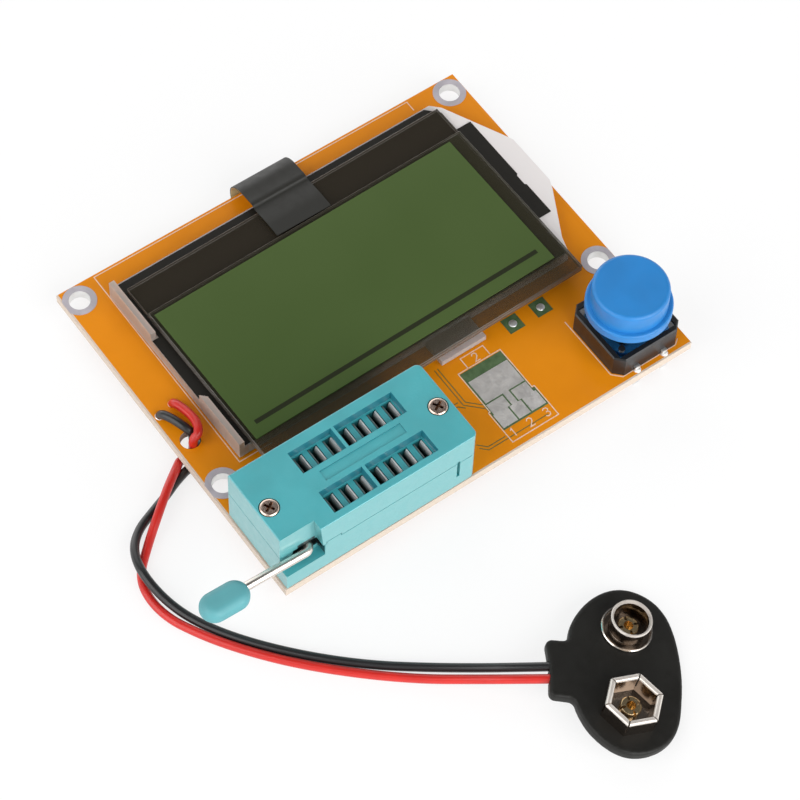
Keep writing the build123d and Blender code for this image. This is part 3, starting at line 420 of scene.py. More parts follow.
# %% Screws
screw_plating = metal("screw_plating", (0.80, 0.62, 0.52), 0.24)
SHADE_DEPTH, SCREW_SHADE = 0.24, (0.32, 0.20, 0.13)  # the cross and the rim lie this deep
head_top = (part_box("zif_screws")[1].z - CORNER.z) / MM
shaded_screw = screw_plating.within((0, 0, 0), (*BOARD_SIZE.xy, head_top - SHADE_DEPTH))
screw_plating.paint(shaded_screw, SCREW_SHADE)
wear("zif_screws")(screw_plating)

# %% Stud and socket of the snap
nickel = metal("nickel", (0.80, 0.74, 0.68), 0.17, depth=0.001)
# The snap leans on its wires, so heights on it are measured along its own axis, which is the
# direction that the stiff strip's largest face looks in. The drawn walls are painted dark, a
# painted dark reflection, and the rims are only partly metallic, so that they look paler than the
# rest, a painted highlight in place of the light on their rolled edges.
SNAP_AXIS = max(nodes["snap_carrier"].data.polygons, key=lambda face: face.area).normal.copy()
SNAP_AXIS *= 1 if SNAP_AXIS.z > 0 else -1
RIM_DEPTH, RIM_REACH, RIM_HIGHLIGHT_PALENESS, WALL_DEPTH = 0.42, 5.0, 0.6, 3.2
WALL_REACH = {"snap_stud": 3.35, "snap_socket": 5.0}
PAINTED_WALL_REFLECTION = {"snap_stud": (0.20, 0.165, 0.135), "snap_socket": (0.36, 0.30, 0.25)}
up_the_snap = nickel.height_along(SNAP_AXIS)
rims = 0.0
for name, reach in WALL_REACH.items():
    points = [vertex.co for vertex in nodes[name].data.vertices]
    top = max(point.dot(SNAP_AXIS) for point in points)
    from_axis = nickel.off_axis(sum(points, Vector()) / len(points), SNAP_AXIS)
    in_wall = nickel.math("LESS_THAN", from_axis, reach * MM)
    in_rim = nickel.math("LESS_THAN", from_axis, RIM_REACH * MM)
    under_rim = nickel.math("LESS_THAN", up_the_snap, top - RIM_DEPTH * MM)
    over_base = nickel.math("GREATER_THAN", up_the_snap, top - WALL_DEPTH * MM)
    wall = nickel.math("MULTIPLY", nickel.math("MULTIPLY", under_rim, over_base), in_wall)
    # Painted dark reflection on the drawn wall.
    nickel.paint(wall, PAINTED_WALL_REFLECTION[name])
    rim = nickel.math("MULTIPLY", nickel.math("SUBTRACT", 1.0, under_rim), in_rim)
    rims = nickel.math("ADD", rim, rims)
    print(name, "rim at", round(top / MM, 2))
# Partly metallic rims: a painted highlight.
nickel.set(Metallic=nickel.math("SUBTRACT", 1.0, nickel.math("MULTIPLY", rims, RIM_HIGHLIGHT_PALENESS)))
wear("snap_stud", "snap_socket")(nickel)

# %% Other metals
wear("snap_dome")(metal("spring_steel", (0.92, 0.92, 0.91), 0.34))
wear("switch_terminals")(metal("terminal_tin", (0.86, 0.85, 0.83), 0.5))
wear("zif_lever")(metal("drawn_wire", (0.90, 0.84, 0.77), 0.30, (0.06, 1.0, 1.0), 0.002))
wear("switch_plate")(metal("bright_plate", (0.83, 0.84, 0.88), 0.10, (1.0, 0.1, 1.0), 0.002))
wear("snap_rivets")(metal("brass", (0.88, 0.68, 0.40), 0.22, depth=0.001))
wear("mounting_hole_rings")(metal("ring_plating", (0.70, 0.66, 0.71), 0.55, scale=900.0))
wear("test_pad_1", "test_pad_2", "test_pad_3")(
    metal("pad_plating", (0.80, 0.77, 0.74), 0.55, scale=900.0)
)
solder = metal("solder", (0.86, 0.86, 0.87), 0.34, scale=700.0)
wear("tail_solder", "terminal_solder", "cable_solder_row")(solder)
wear("crystal")(metal("crystal_can", (0.70, 0.69, 0.66), 0.33, (0.1, 1.0, 1.0)))
print("metal finishes made")

# %% [markdown]
# ## Board
#
# The board is glass cloth in resin under an orange solder mask. Its faces are glossy orange, its
# sawn edges pale and fibrous. Both are one solid, so the finish tells them apart by the direction
# of the surface: faces look up or down, edges don't.

# %% Board finish
board = Finish("board_mask", (0.74, 0.245, 0.010), 0.30)
is_face = board.math("GREATER_THAN", board.math("ABSOLUTE", board.facing()["Z"]), 0.5)
mask = board.ramp(board.noise(70.0, 3.0), [(0.3, (0.70, 0.225, 0.003)), (0.7, (0.79, 0.262, 0.004))])
layers = board.noise(400.0, 3.0, 0.6, board.scaled(1.0, 1.0, 14.0))
sawn = board.ramp(layers, [(0.35, (0.52, 0.44, 0.35)), (0.65, (0.70, 0.64, 0.57))])
board.set(Base_Color=board.mix(is_face, sawn, mask))
# At the front and on the left the mask stops short of the edge, and margin and edge have one tone.
MARGIN, MARGIN_COLOUR = 0.28, (0.66, 0.56, 0.47)
inner = board.within(
    (MARGIN, MARGIN, -PAST), (BOARD_SIZE.x + PAST, BOARD_SIZE.y + PAST, PAST)
)
board.paint(board.math("SUBTRACT", 1.0, inner), MARGIN_COLOUR)
weave = board.noise(1400.0, 2.0)
board.bump(weave, 0.006 * MM, 0.5)
board.set(Roughness=board.ramp(is_face, [(0.0, 0.75), (1.0, 0.27)]), Specular_IOR_Level=0.28)
wear("circuit_board")(board)
print("board finish made")

# %% [markdown]
# ## Display
#
# The glass sandwich is a dark window whose polariser looks olive green. The light guide under it
# is acrylic, partly clear along its length and milky at its narrow end.

# %% Glass
EASE = 0.03  # air on each side of a pane, so that no two faces lie in one plane


def pane(name, tint, solid, edge):
    """Thin tinted glass: mostly see-through, and frosted where grinding left its cut edges rough.
    The edges are painted darker where they don't face back, a painted shade.
    """
    finish = Finish(name, tint, 0.05)
    facing = finish.facing()
    is_edge = finish.math("LESS_THAN", finish.math("ABSOLUTE", facing["Z"]), 0.9)
    is_back = finish.math("GREATER_THAN", facing["Y"], 0.5)
    # Edges that don't face back are painted darker: painted shade.
    frosted_edge_and_shade = finish.mix(is_back, tuple(channel * 0.3 for channel in edge), edge)
    finish.set(
        Base_Color=finish.mix(is_edge, tint, frosted_edge_and_shade),
        Alpha=finish.ramp(is_edge, [(0.0, solid), (1.0, 0.8)]),
        Roughness=finish.ramp(is_edge, [(0.0, 0.05), (1.0, 0.45)]),
    )
    finish.set(Coat_Weight=0.5, Coat_Roughness=0.03)
    return finish


def eased_pane(name, node, finish):
    """A pane in a node's place, a little thinner, so that light passes between the layers."""
    low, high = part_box(node)
    middle = (low + high) / 2
    thinner = 1 - 2 * EASE * MM / (high.z - low.z)
    shape = merged_copy(node)
    about = Matrix.Translation(-middle)
    bmesh.ops.scale(shape, vec=(1, 1, thinner), space=about, verts=shape.verts)
    new_piece(name, shape, finish, replaces=[node])
    print(name, "thickness", round((high.z - low.z) * thinner / MM, 2))


# Each pane has its node, the glass's tint, how solid it looks and the tint of its ground edge.
PANES = {
    "front_pane": ("front_glass", (0.054, 0.050, 0.028), 0.27, (0.22, 0.19, 0.15)),
    "rear_pane": ("rear_glass", (0.044, 0.035, 0.023), 0.40, (0.36, 0.30, 0.25)),
}
for name, (node, tint, solid, edge) in PANES.items():
    eased_pane(name, node, pane(name, tint, solid, edge))

# %% Polariser
# The seal between the panes shows through the film as a dark line near its front edge.
SEAL_FRONT, SEAL_WIDTH, SEAL_REACH = 2.4, 0.75, 51.0
SEAL_COLOUR = (0.022, 0.026, 0.012)
FILM_DEPTH, FILM_TURN = 25.9, radians(0.9)
polariser = Finish("front_polariser", (0.064, 0.104, 0.030), 0.16)
lower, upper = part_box("front_polariser")
flat = polariser.node("Mapping", vector_type="TEXTURE")
flat.inputs["Location"].default_value = ((lower.x + upper.x) / 2, (lower.y + upper.y) / 2, 0)
flat.inputs["Rotation"].default_value = (0, 0, FILM_TURN)
polariser.join(polariser.coordinates, flat.inputs["Vector"])
film_place = polariser.node("SeparateXYZ")
polariser.join(flat.outputs["Vector"], film_place.inputs[0])
seal_place = (SEAL_FRONT - FILM_DEPTH / 2) * MM
off_line = polariser.math("ABSOLUTE", polariser.math("SUBTRACT", film_place.outputs["Y"], seal_place))
off_middle = polariser.math("ABSOLUTE", film_place.outputs["X"])
on_seal = polariser.math(
    "MULTIPLY",
    polariser.math("LESS_THAN", off_line, SEAL_WIDTH / 2 * MM),
    polariser.math("LESS_THAN", off_middle, SEAL_REACH / 2 * MM),
)
tone = polariser.ramp(
    polariser.noise(35.0, 2.0), [(0.3, (0.060, 0.098, 0.027)), (0.7, (0.070, 0.110, 0.033))]
)
polariser.set(
    Base_Color=polariser.mix(on_seal, tone, SEAL_COLOUR),
    Coat_Weight=0.2,
    Coat_Roughness=0.1,
    IOR=1.35,
)
wear("front_polariser")(polariser)
wear("rear_polariser")(moulded("rear_film", (0.05, 0.05, 0.035), 0.4))
print("polarisers made")

# %% Light guide
ACRYLIC, RIB_BOARD_LIGHT = (0.84, 0.80, 0.79), (0.80, 0.68, 0.61)
CLEAR, MILKY = 0.6, 0.08  # how much light goes through, along the guide and at its narrow end
CLEAR_TO, MILKY_FROM = 34, 37  # from the frame's own origin, to the right
RIB_FOOT, RIB_WIDTH = 1.0, 1.9
guide = Finish("light_guide", ACRYLIC, 0.30)
across = guide.node("SeparateXYZ")
guide.join(guide.coordinates, across.inputs[0])
clearness = guide.node("MapRange")
stops = ("From Min", CLEAR_TO * MM), ("From Max", MILKY_FROM * MM), ("To Min", CLEAR), ("To Max", MILKY)
for socket, value in stops:
    clearness.inputs[socket].default_value = value
guide.join(across.outputs["X"], clearness.inputs["Value"])
# The ribs at the left are painted orange: painted light from the board next to them.
guide_left = (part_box("light_guide")[0].x - CORNER.x) / MM
ribs = guide.within((0, 0, RIB_FOOT), (guide_left + RIB_WIDTH, BOARD_SIZE.y, PAST))
guide.set(
    Base_Color=guide.mix(ribs, ACRYLIC, RIB_BOARD_LIGHT),
    Transmission_Weight=clearness.outputs["Result"],
    IOR=1.49,
)
guide.bump(guide.noise(900.0, 2.0), 0.004 * MM, 0.6)
wear("light_guide")(guide)
print("light guide made")

# %% Films, tapes and cable
wear("diffuser_film", "reflector_film", "mounting_tape", "backlight_diodes")(
    moulded("white_film", (0.80, 0.79, 0.80), 0.5)
)
wear("shading_tape")(moulded("black_tape", (0.010, 0.0085, 0.006), 0.5, ior=1.35))
cable_black = moulded("flat_cable", (0.015, 0.0145, 0.0115), 0.50, 0.002)
cable_inside = moulded("cable_inside", (0.74, 0.60, 0.34), 0.45, 0.002)
wear("driver_chip")(moulded("silicon", (0.02, 0.02, 0.025), 0.1))
print("films and tapes made")

# %% [markdown]
# ## Under the board
#
# Small parts in their usual finishes: black moulded chips, glazed resistors, tan ceramic and
# yellow tantalum.

# %% Underside finishes
wear("microcontroller", "voltage_regulator", "voltage_reference", "transistors")(
    moulded("chip_moulding", (0.02, 0.02, 0.021), 0.55)
)
wear("chip_resistors")(moulded("resistor_glaze", (0.015, 0.015, 0.02), 0.25))
wear("chip_capacitors")(moulded("ceramic", (0.36, 0.24, 0.13), 0.55))
wear("tantalum_capacitors")(moulded("tantalum", (0.62, 0.33, 0.03), 0.45))
print("underside finishes made")

# %% Vinyl parts
soft_vinyl = moulded("snap_vinyl", (0.0115, 0.011, 0.0095), 0.48, 0.012, ior=1.35)
wear("snap_carrier")(soft_vinyl)
wear("lever_knob")(moulded("knob_vinyl", (0.098, 0.342, 0.374), 0.50))

# %% [markdown]
# ## Print and copper on the board
#
# The printed outlines are ink a few hundredths of a millimetre thick, and the tracks show as gaps
# in the copper under the mask. Both are lines of constant width. A wall raised along the line and
# thickened sideways by Solidify gives mitred corners for free, where separate bars would overlap.


# %% Lines
LINE_SINK, PATCH_SINK = 0.01, 0.005  # how far the print and the patches reach into the board


def pulled_wall(shape, corners, way):
    """A wall in a shape: a line through its corners, pulled along a vector."""
    edges = [shape.edges.new(pair) for pair in zip(corners, corners[1:])]
    wall = bmesh.ops.extrude_edge_only(shape, edges=edges)["geom"]
    far = [part for part in wall if isinstance(part, bmesh.types.BMVert)]
    bmesh.ops.translate(shape, verts=far, vec=way)


def thicken(piece, thickness):
    """Give a wall its thickness, half on each side."""
    solid = piece.modifiers.new("thickness", "SOLIDIFY")
    solid.thickness = thickness * MM
    solid.offset = 0
    return solid


def raised_lines(name, runs, width, height, finish):
    """Lines of constant width, in millimetres, along runs of points on the board."""
    shape = bmesh.new()
    for run in runs:
        corners = [shape.verts.new(place(along, depth, -LINE_SINK)) for along, depth in run]
        pulled_wall(shape, corners, (0, 0, (height + LINE_SINK) * MM))
    piece = new_piece(name, shape, finish)
    thicken(piece, width).use_even_offset = True
    print(name, "runs", len(runs))


# %% Printed outlines
ink = Finish("printed_ink", (0.78, 0.66, 0.58), 0.55)
INK_TONES = (0.74, 0.50, 0.36), (0.82, 0.64, 0.52)
ink.set(Base_Color=ink.ramp(ink.noise(2500.0), list(zip((0.3, 0.7), INK_TONES))))
PRINTED = [
    [(63.5, 57.7), (63.5, 59.6), (6.35, 59.6), (6.35, 21.0), (12.0, 21.0)],
    [(59.25, 13.5), (59.25, 2.35), (60.55, 1.05), (70.3, 1.05), (71.2, 1.75)],
    [(40.6, 7.25), (40.6, 1.3), (48.9, 1.3), (48.9, 7.25), (48.5, 7.25), (48.5, 15.1), (46.8, 15.1)],
    [(46.8, 15.1), (46.8, 17.1), (42.7, 17.1), (42.7, 15.1), (40.9, 15.1), (40.9, 7.25), (40.6, 7.25)],
    [(42.7, 15.1), (46.8, 15.1)],
]
# Strokes of each digit, from the digit's middle.
DIGITS = {
    "1": [[(-0.25, 0.45), (0.05, 0.7), (0.05, -0.7)]],
    "2": [[(-0.4, 0.4), (-0.2, 0.68), (0.2, 0.68), (0.4, 0.4), (0.3, 0.05), (-0.4, -0.7), (0.42, -0.7)]],
    "3": [
        [(-0.4, 0.5), (-0.15, 0.7), (0.25, 0.66), (0.4, 0.35), (0.22, 0.05), (-0.1, 0.02)],
        [(0.22, 0.05), (0.42, -0.3), (0.25, -0.64), (-0.15, -0.7), (-0.42, -0.48)],
    ],
}
DIGIT_PLACES = [("1", 41.7, 2.6), ("2", 44.75, 2.6), ("3", 47.7, 2.6), ("2", 44.75, 16.1)]
OUTLINE_WIDTH, STROKE_WIDTH, INK_HEIGHT = 0.15, 0.16, 0.025
raised_lines("printed_outlines", PRINTED, OUTLINE_WIDTH, INK_HEIGHT, ink)
figures = [
    [(middle + x, depth + y) for x, y in stroke]
    for digit, middle, depth in DIGIT_PLACES
    for stroke in DIGITS[digit]
]
raised_lines("printed_figures", figures, STROKE_WIDTH, INK_HEIGHT, ink)

# %% Tracks and bare laminate
gap = Finish("copper_gap", (0.155, 0.135, 0.030), 0.35)
TRACKS = [
    [(38.4, 17.6), (38.4, 10.4), (40.7, 8.1)],
    [(38.95, 17.6), (38.95, 10.65), (40.9, 8.7)],
    [(36.0, 3.2), (37.0, 2.2), (47.7, 2.2)],
    [(36.0, 3.9), (37.2, 2.7), (40.3, 2.7)],
    [(33.1, 10.6), (37.6, 10.6), (38.4, 9.8)],
    [(33.1, 11.2), (38.0, 11.2)],
]
TRACK_WIDTH, TRACK_HEIGHT = 0.16, 0.012
raised_lines("track_gaps", TRACKS, TRACK_WIDTH, TRACK_HEIGHT, gap)


def flat_patch(name, outline, height, finish):
    """A thin flat patch on the board, from its outline."""
    shape = bmesh.new()
    low = shape.faces.new([shape.verts.new(place(x, y, -PATCH_SINK)) for x, y in outline])
    grown = bmesh.ops.extrude_face_region(shape, geom=[low])["geom"]
    top = [part for part in grown if isinstance(part, bmesh.types.BMVert)]
    bmesh.ops.translate(shape, verts=top, vec=(0, 0, (height + PATCH_SINK) * MM))
    new_piece(name, shape, finish)


laminate = Finish("bare_laminate", (0.075, 0.135, 0.055), 0.35)
laminate.set(
    Base_Color=laminate.ramp(
        laminate.noise(1200.0), [(0.3, (0.055, 0.105, 0.040)), (0.7, (0.095, 0.160, 0.070))]
    )
)
PAD_GROUND = [
    (40.75, 3.6),
    (48.8, 3.6),
    (48.8, 7.1),
    (48.4, 7.1),
    (48.4, 14.9),
    (41.0, 14.9),
    (41.0, 8.6),
    (40.75, 8.6),
]
flat_patch("pad_ground", PAD_GROUND, 0.02, laminate)
wear("bare_solder_pads")(laminate)
print("bare laminate made")

# %% Hole linings
tin = metal("hole_tin", (0.93, 0.93, 0.92), 0.5)
HOLE_RADIUS, LINING, PROUD = 1.65, 0.02, 0.02


def hole_linings(name, places, finish):
    """Plated barrels just inside the drilled holes: a short line spun about each hole."""
    shape = bmesh.new()
    radius = HOLE_RADIUS - LINING
    for along, depth in places:
        centre = place(along, depth)
        heights = (PROUD, UNDERSIDE - PROUD)
        corners = [shape.verts.new(centre + Vector((radius, 0, up)) * MM) for up in heights]
        line = corners + [shape.edges.new(corners)]
        turn = {"cent": centre, "axis": (0, 0, 1), "angle": 2 * pi, "steps": 64}
        bmesh.ops.spin(shape, geom=line, use_merge=True, **turn)
    piece = new_piece(name, shape, finish)
    thicken(piece, LINING)
    settle(piece)
    print(name, "holes", len(places))


def four_round(middle, apart):
    """The four places round a middle, each half of the spacing away on both axes."""
    (x, y), (wide, deep) = middle, apart
    return [(x + wide / 2 * i, y + deep / 2 * j) for i in (-1, 1) for j in (-1, 1)]


MOUNTING_HOLES = four_round((36.2, 38.4), (67.6, 37.9))
hole_linings("mounting_linings", MOUNTING_HOLES, tin)

# %% Solder drops
# After each place come the drop's base height, its radius and its rise.
BARE_PADS = [(52.75, 17.65), (57.85, 17.65)]
domes("pad_drops", [(*pad, 0.02, 0.66, 0.2) for pad in BARE_PADS], tin)
FEET = four_round((65.5, 7.15), (5.0, 12.6))
domes("terminal_drops", [(*foot, 0.0, 0.62, 0.42) for foot in FEET], tin)
LEAD_ENDS = [(1.2, 33.9), (3.9, 34.6)]
above = [(x - 0.06, y + 0.04, 0.0, 0.71, 0.2) for x, y in LEAD_ENDS]
below = [(*end, UNDERSIDE, 0.95, 0.5) for end in LEAD_ENDS]
domes("lead_drops", above + below, solder, replaces=["lead_solder"])
print("solder drops", len(BARE_PADS) + len(FEET) + len(above + below))

# %% [markdown]
# ## Flat cable
#
# The display's cable is one black plastic ribbon. It covers the driver chip on the glass ledge,
# creases where it leaves the glass, and rolls over the board's back edge. A smooth line is pulled
# sideways into a ribbon, and Solidify gives it its thickness.

# %% Ribbon
ribbon_low, ribbon_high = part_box("display_cable")
ledge_top = (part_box("rear_glass")[1].z - CORNER.z) / MM
RIBBON_THICKNESS, CHIP_RISE = 0.14, 0.36
LIE = ledge_top + RIBBON_THICKNESS
OVER_CHIP = LIE + CHIP_RISE
UNDER = UNDERSIDE - RIBBON_THICKNESS
RIBBON_ROUTE = [
    (48.2, OVER_CHIP),
    (49.6, OVER_CHIP),
    (50.9, OVER_CHIP),
    (52.4, LIE + 0.2),
    (53.8, LIE + 0.03),
    (54.4, LIE + 0.05),
    (54.9, LIE + 0.5),
    (56.4, 3.72),
    (58.8, 3.6),
    (60.85, 1.7),
    (60.8, -1.0),
    (60.1, -2.1),
    (58.5, UNDER),
    (55.7, UNDER),
]
left_edge = (ribbon_low.x - CORNER.x) / MM
ribbon_points = [(left_edge, depth, height) for depth, height in RIBBON_ROUTE]
line = spline_line("ribbon_line", ribbon_points, steps=8)
ribbon_shape = bmesh.new()
corners = [ribbon_shape.verts.new(point) for point in line]
pulled_wall(ribbon_shape, corners, (ribbon_high.x - ribbon_low.x, 0, 0))
covered = ["display_cable", "chip_cover_film"]
ribbon = new_piece("cable_ribbon", ribbon_shape, cable_black, replaces=covered)
thicken(ribbon, RIBBON_THICKNESS).material_offset = 1
ribbon.data.materials.append(cable_inside.material)
settle(ribbon)
print("ribbon points", len(line))

# %% [markdown]
# ## Battery snap's cover
#
# The cover is soft vinyl moulded over a stiff strip, so its edges are rounded and its skin waves a
# little. The solid is remeshed into small even faces, smoothed, and moved along its normals by a
# slow noise. Round the stud and the socket it stays flat, because they press it down.

# %% Soft cover
GRID = 0.2
WAVE, WAVE_SCALE = 0.06, 260.0  # the scale is per metre
SMOOTHINGS, CALM_WIDTH = 3, 1.5


def soft_cover(name, node, finish):
    """A soft skin in a node's place: even small faces, rounded edges and a slight wave."""
    shape = merged_copy(node)
    piece = new_piece(name, shape, finish, replaces=[node])
    even = piece.modifiers.new("even_faces", "REMESH")
    even.mode = "VOXEL"
    even.voxel_size = GRID * MM
    soft = bmesh.new()
    soft.from_mesh(finished_mesh(piece))
    every_way = {"use_axis_x": True, "use_axis_y": True, "use_axis_z": True}
    for _ in range(SMOOTHINGS):
        bmesh.ops.smooth_vert(soft, verts=soft.verts, factor=0.5, **every_way)
    soft.normal_update()
    metal_boxes = [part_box(part) for part in ("snap_stud", "snap_socket")]
    for vertex in soft.verts:
        clear = 1.0
        for low, high in metal_boxes:
            middle, reach = (low + high) / 2, (high.x - low.x) / 2
            away = (vertex.co.xy - middle.xy).length - reach
            clear = min(clear, max(0.0, away / (CALM_WIDTH * MM)))
        vertex.co += vertex.normal * noise.noise(vertex.co * WAVE_SCALE) * WAVE * MM * clear
    soft.to_mesh(piece.data)
    soft.free()
    piece.data.shade_smooth()
    print(name, "faces", len(piece.data.polygons))
    return piece


cover = soft_cover("soft_snap_cover", "snap_cover", soft_vinyl)

# %% [markdown]
# ## Wires
#
# Each wire is a soft tube with a free stretch between the board's edge and the battery snap. Its
# line is a smooth spline, pulled towards the points of the solid tube's route. The three points
# after the first are given here, up to 1.3 mm from the tube's own, where the wires leave the edge.

# %% Wire routes
WIRE_DIAMETER = 1.36
WIRE_FLOOR = -3.0  # a wire's middle, where it lies on the table
ROUTES = {
    "black": [
        (0.0, 25.6, WIRE_FLOOR),
        (-2.0, 25.0, WIRE_FLOOR),
        (-4.3, 23.9, WIRE_FLOOR),
        (-7.5, 22.7, WIRE_FLOOR),
        (-11.1, 21.2, WIRE_FLOOR + 0.2),
        (-13.9, 18.0, WIRE_FLOOR + 1.4),
        (-14.9, 13.2, WIRE_FLOOR + 2.0),
        (-13.7, 7.7, WIRE_FLOOR + 0.3),
        (-11.2, 2.3, WIRE_FLOOR),
        (-7.3, -3.4, WIRE_FLOOR),
        (-2.1, -9.4, WIRE_FLOOR),
        (4.0, -15.2, WIRE_FLOOR),
        (10.4, -20.2, WIRE_FLOOR + 0.2),
        (15.6, -24.5, WIRE_FLOOR + 1.2),
        (19.6, -28.1, WIRE_FLOOR + 2.7),
        (23.4, -30.9, WIRE_FLOOR + 3.2),
    ],
    "red": [
        (0.0, 27.25, WIRE_FLOOR + 0.3),
        (-1.6, 25.9, WIRE_FLOOR + 1.15),
        (-4.2, 23.9, WIRE_FLOOR + 1.55),
        (-7.3, 21.4, WIRE_FLOOR + 1.4),
        (-11.0, 18.6, WIRE_FLOOR + 0.1),
        (-15.4, 14.5, WIRE_FLOOR),
        (-15.7, 8.2, WIRE_FLOOR),
        (-12.7, 2.0, WIRE_FLOOR),
        (-8.6, -4.0, WIRE_FLOOR),
        (-3.75, -9.75, WIRE_FLOOR),
        (2.3, -15.7, WIRE_FLOOR),
        (8.4, -21.0, WIRE_FLOOR + 0.2),
        (13.8, -25.4, WIRE_FLOOR + 1.2),
        (18.0, -29.2, WIRE_FLOOR + 2.7),
        (22.4, -32.5, WIRE_FLOOR + 3.2),
    ],
}
# From the solder, over the board, down through the relief hole and out under the edge.
HELD_ROUTES = {
    "black": [
        (1.2, 34.0, -0.2),
        (1.22, 33.8, 0.9),
        (1.9, 32.0, 1.4),
        (2.55, 30.1, 1.4),
        (3.3, 28.5, 0.7),
        (3.3, 28.5, -1.9),
        (4.3, 27.6, WIRE_FLOOR),
        (3.7, 25.9, WIRE_FLOOR),
        (1.4, 25.75, WIRE_FLOOR),
        (0.0, 25.6, WIRE_FLOOR),
    ],
    "red": [
        (3.85, 34.7, -0.2),
        (3.82, 34.4, 0.9),
        (4.35, 31.8, 1.5),
        (4.5, 29.2, 1.85),
        (3.6, 27.25, 2.0),
        (2.53, 27.3, 1.3),
        (2.53, 27.3, -1.95),
        (1.2, 27.49, WIRE_FLOOR + 0.21),
        (0.0, 27.25, WIRE_FLOOR + 0.3),
    ],
}


# %% Wires
def vinyl(name, colour):
    """Soft wire insulation: slightly waxy, with faint marks from the extruder."""
    finish = Finish(name, colour, 0.34)
    marks = finish.noise(1800.0, 3.0)
    finish.bump(marks, 0.006 * MM, 0.6)
    dark = tuple(channel * 0.85 for channel in colour)
    finish.set(Base_Color=finish.ramp(finish.noise(300.0), [(0.3, dark), (0.7, colour)]))
    finish.set(Coat_Weight=0.25, Coat_Roughness=0.2)
    return finish


WIRE_COLOURS = {"black": (0.013, 0.013, 0.014), "red": (0.62, 0.018, 0.012)}
insulation = {colour: vinyl(colour + "_wire", rgb) for colour, rgb in WIRE_COLOURS.items()}


def laid_wire(name, colour, points, node):
    """A wire in a node's place: a round tube along a spline."""
    curve = spline_curve(name, points, steps=12)
    curve.bevel_depth = WIRE_DIAMETER / 2 * MM
    curve.bevel_resolution = 6
    curve.use_fill_caps = True
    curve.materials.append(insulation[colour].material)
    wire = bpy.data.objects.new(name, curve)
    bpy.context.scene.collection.objects.link(wire)
    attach(wire, "root")
    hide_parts(node)
    return wire


for colour, points in ROUTES.items():
    wire = laid_wire(colour + "_wire", colour, points, colour + "_lead_free")
    laid_wire(colour + "_wire_held", colour, HELD_ROUTES[colour], colour + "_lead_held")
print("wires laid")

# %% [markdown]
# ## Table top, light and camera
#
# A small shiny object shows best on white paper, with soft lamps low on its sides. The world
# therefore is bright near the horizon and dim overhead: side faces get pale light, and the glass
# and the polished metal reflect something dark, which gives them their contrast. The paper's white
# comes from its own colour plus a glow that only the camera, reflections and clear parts see, so
# the lamps stay at a plain level and the soft shadows remain.

# %% Table top
def stage_plane(name, size, height):
    """Flat square for the table top."""
    shape = bmesh.new()
    bmesh.ops.create_grid(shape, x_segments=1, y_segments=1, size=size / 2)
    bmesh.ops.translate(shape, verts=shape.verts, vec=(0, 0, height))
    mesh = bpy.data.meshes.new(name)
    shape.to_mesh(mesh)
    shape.free()
    plane = bpy.data.objects.new(name, mesh)
    bpy.context.scene.collection.objects.link(plane)
    return plane


PAPER_GLOW, GLOW_STRENGTH = 0.72, 1.06
TABLE_SIZE, TABLE_DROP = 6.0, 0.05 * MM  # metres
table = stage_plane("table_top", TABLE_SIZE, -TABLE_DROP)
paper = Finish("white_paper", (0.82, 0.82, 0.82), 0.9)
rays = paper.node("LightPath")
seen = paper.math(
    "MAXIMUM",
    rays.outputs["Is Camera Ray"],
    paper.math("MAXIMUM", rays.outputs["Is Glossy Ray"], rays.outputs["Is Transmission Ray"]),
)
glow = paper.node("Emission", Color=(1, 1, 1, 1), Strength=GLOW_STRENGTH)
blended = paper.node("MixShader")
paper.join(paper.math("MULTIPLY", seen, PAPER_GLOW), blended.inputs[0])
paper.join(paper.shader.outputs[0], blended.inputs[1])
paper.join(glow.outputs[0], blended.inputs[2])
paper.join(blended.outputs[0], paper.tree.nodes["Material Output"].inputs["Surface"])
table.data.materials.append(paper.material)
print("table top laid")

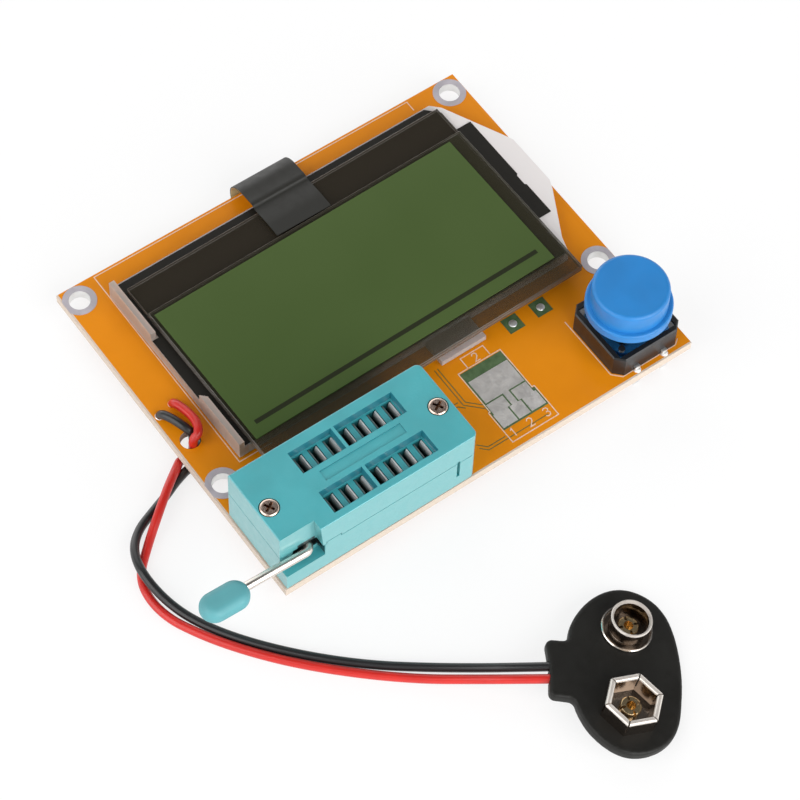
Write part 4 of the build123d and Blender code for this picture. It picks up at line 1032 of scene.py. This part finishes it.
# %% World
HORIZON, OVERHEAD = 1.35, 0.12
FADE_FROM, FADE_TO = 0.10, 0.55  # heights on a dome of radius 1
world = bpy.data.worlds.new("studio")
bpy.context.scene.world = world
world.use_nodes = True
sky = world.node_tree
direction = sky.nodes.new("ShaderNodeTexCoord").outputs["Generated"]
parts = sky.nodes.new("ShaderNodeSeparateXYZ")
sky.links.new(direction, parts.inputs[0])
fade = sky.nodes.new("ShaderNodeMapRange")
fade.interpolation_type = "SMOOTHSTEP"
stops = ("From Min", FADE_FROM), ("From Max", FADE_TO), ("To Min", HORIZON), ("To Max", OVERHEAD)
for socket, value in stops:
    fade.inputs[socket].default_value = value
sky.links.new(parts.outputs["Z"], fade.inputs["Value"])
sky.nodes["Background"].inputs["Color"].default_value = (1, 1, 1, 1)
sky.links.new(fade.outputs["Result"], sky.nodes["Background"].inputs["Strength"])
print("world made")

# %% Lamps
LAMP_SIZE = 1.1


def softbox(name, position, power):
    """Square area lamp aimed at the frame's origin. Its place is in metres, its power in watts."""
    lamp = bpy.data.lights.new(name, "AREA")
    lamp.shape = "SQUARE"
    lamp.size = LAMP_SIZE
    lamp.energy = power
    holder = bpy.data.objects.new(name, lamp)
    holder.location = position
    holder.rotation_euler = (-Vector(position)).to_track_quat("-Z", "Y").to_euler()
    bpy.context.scene.collection.objects.link(holder)
    print(name, power, "W")


softbox("front_lamp", (0.10, -0.95, 0.50), 12.3)
softbox("left_lamp", (-0.85, 0.10, 0.70), 8.2)
softbox("back_lamp", (0.25, 0.95, 0.50), 4.4)

# %% Camera
EYE = Vector((-146.636, -204.516, 399.234)) * MM
LOOK = Vector((0.32061, 0.41257, -0.85264))
RIGHT = Vector((0.81352, -0.58101, 0.02477))
LENS, SENSOR = 143.55, 36.0
camera_data = bpy.data.cameras.new("camera")
camera_data.lens = LENS
camera_data.sensor_width = SENSOR
camera_data.clip_start = 0.01
camera = bpy.data.objects.new("camera", camera_data)
axes = Matrix((RIGHT, RIGHT.cross(LOOK), -LOOK)).transposed()
camera.matrix_world = Matrix.Translation(EYE) @ axes.to_4x4()
bpy.context.scene.collection.objects.link(camera)
bpy.context.scene.camera = camera
bpy.context.scene.view_settings.view_transform = "Standard"
print("camera set")
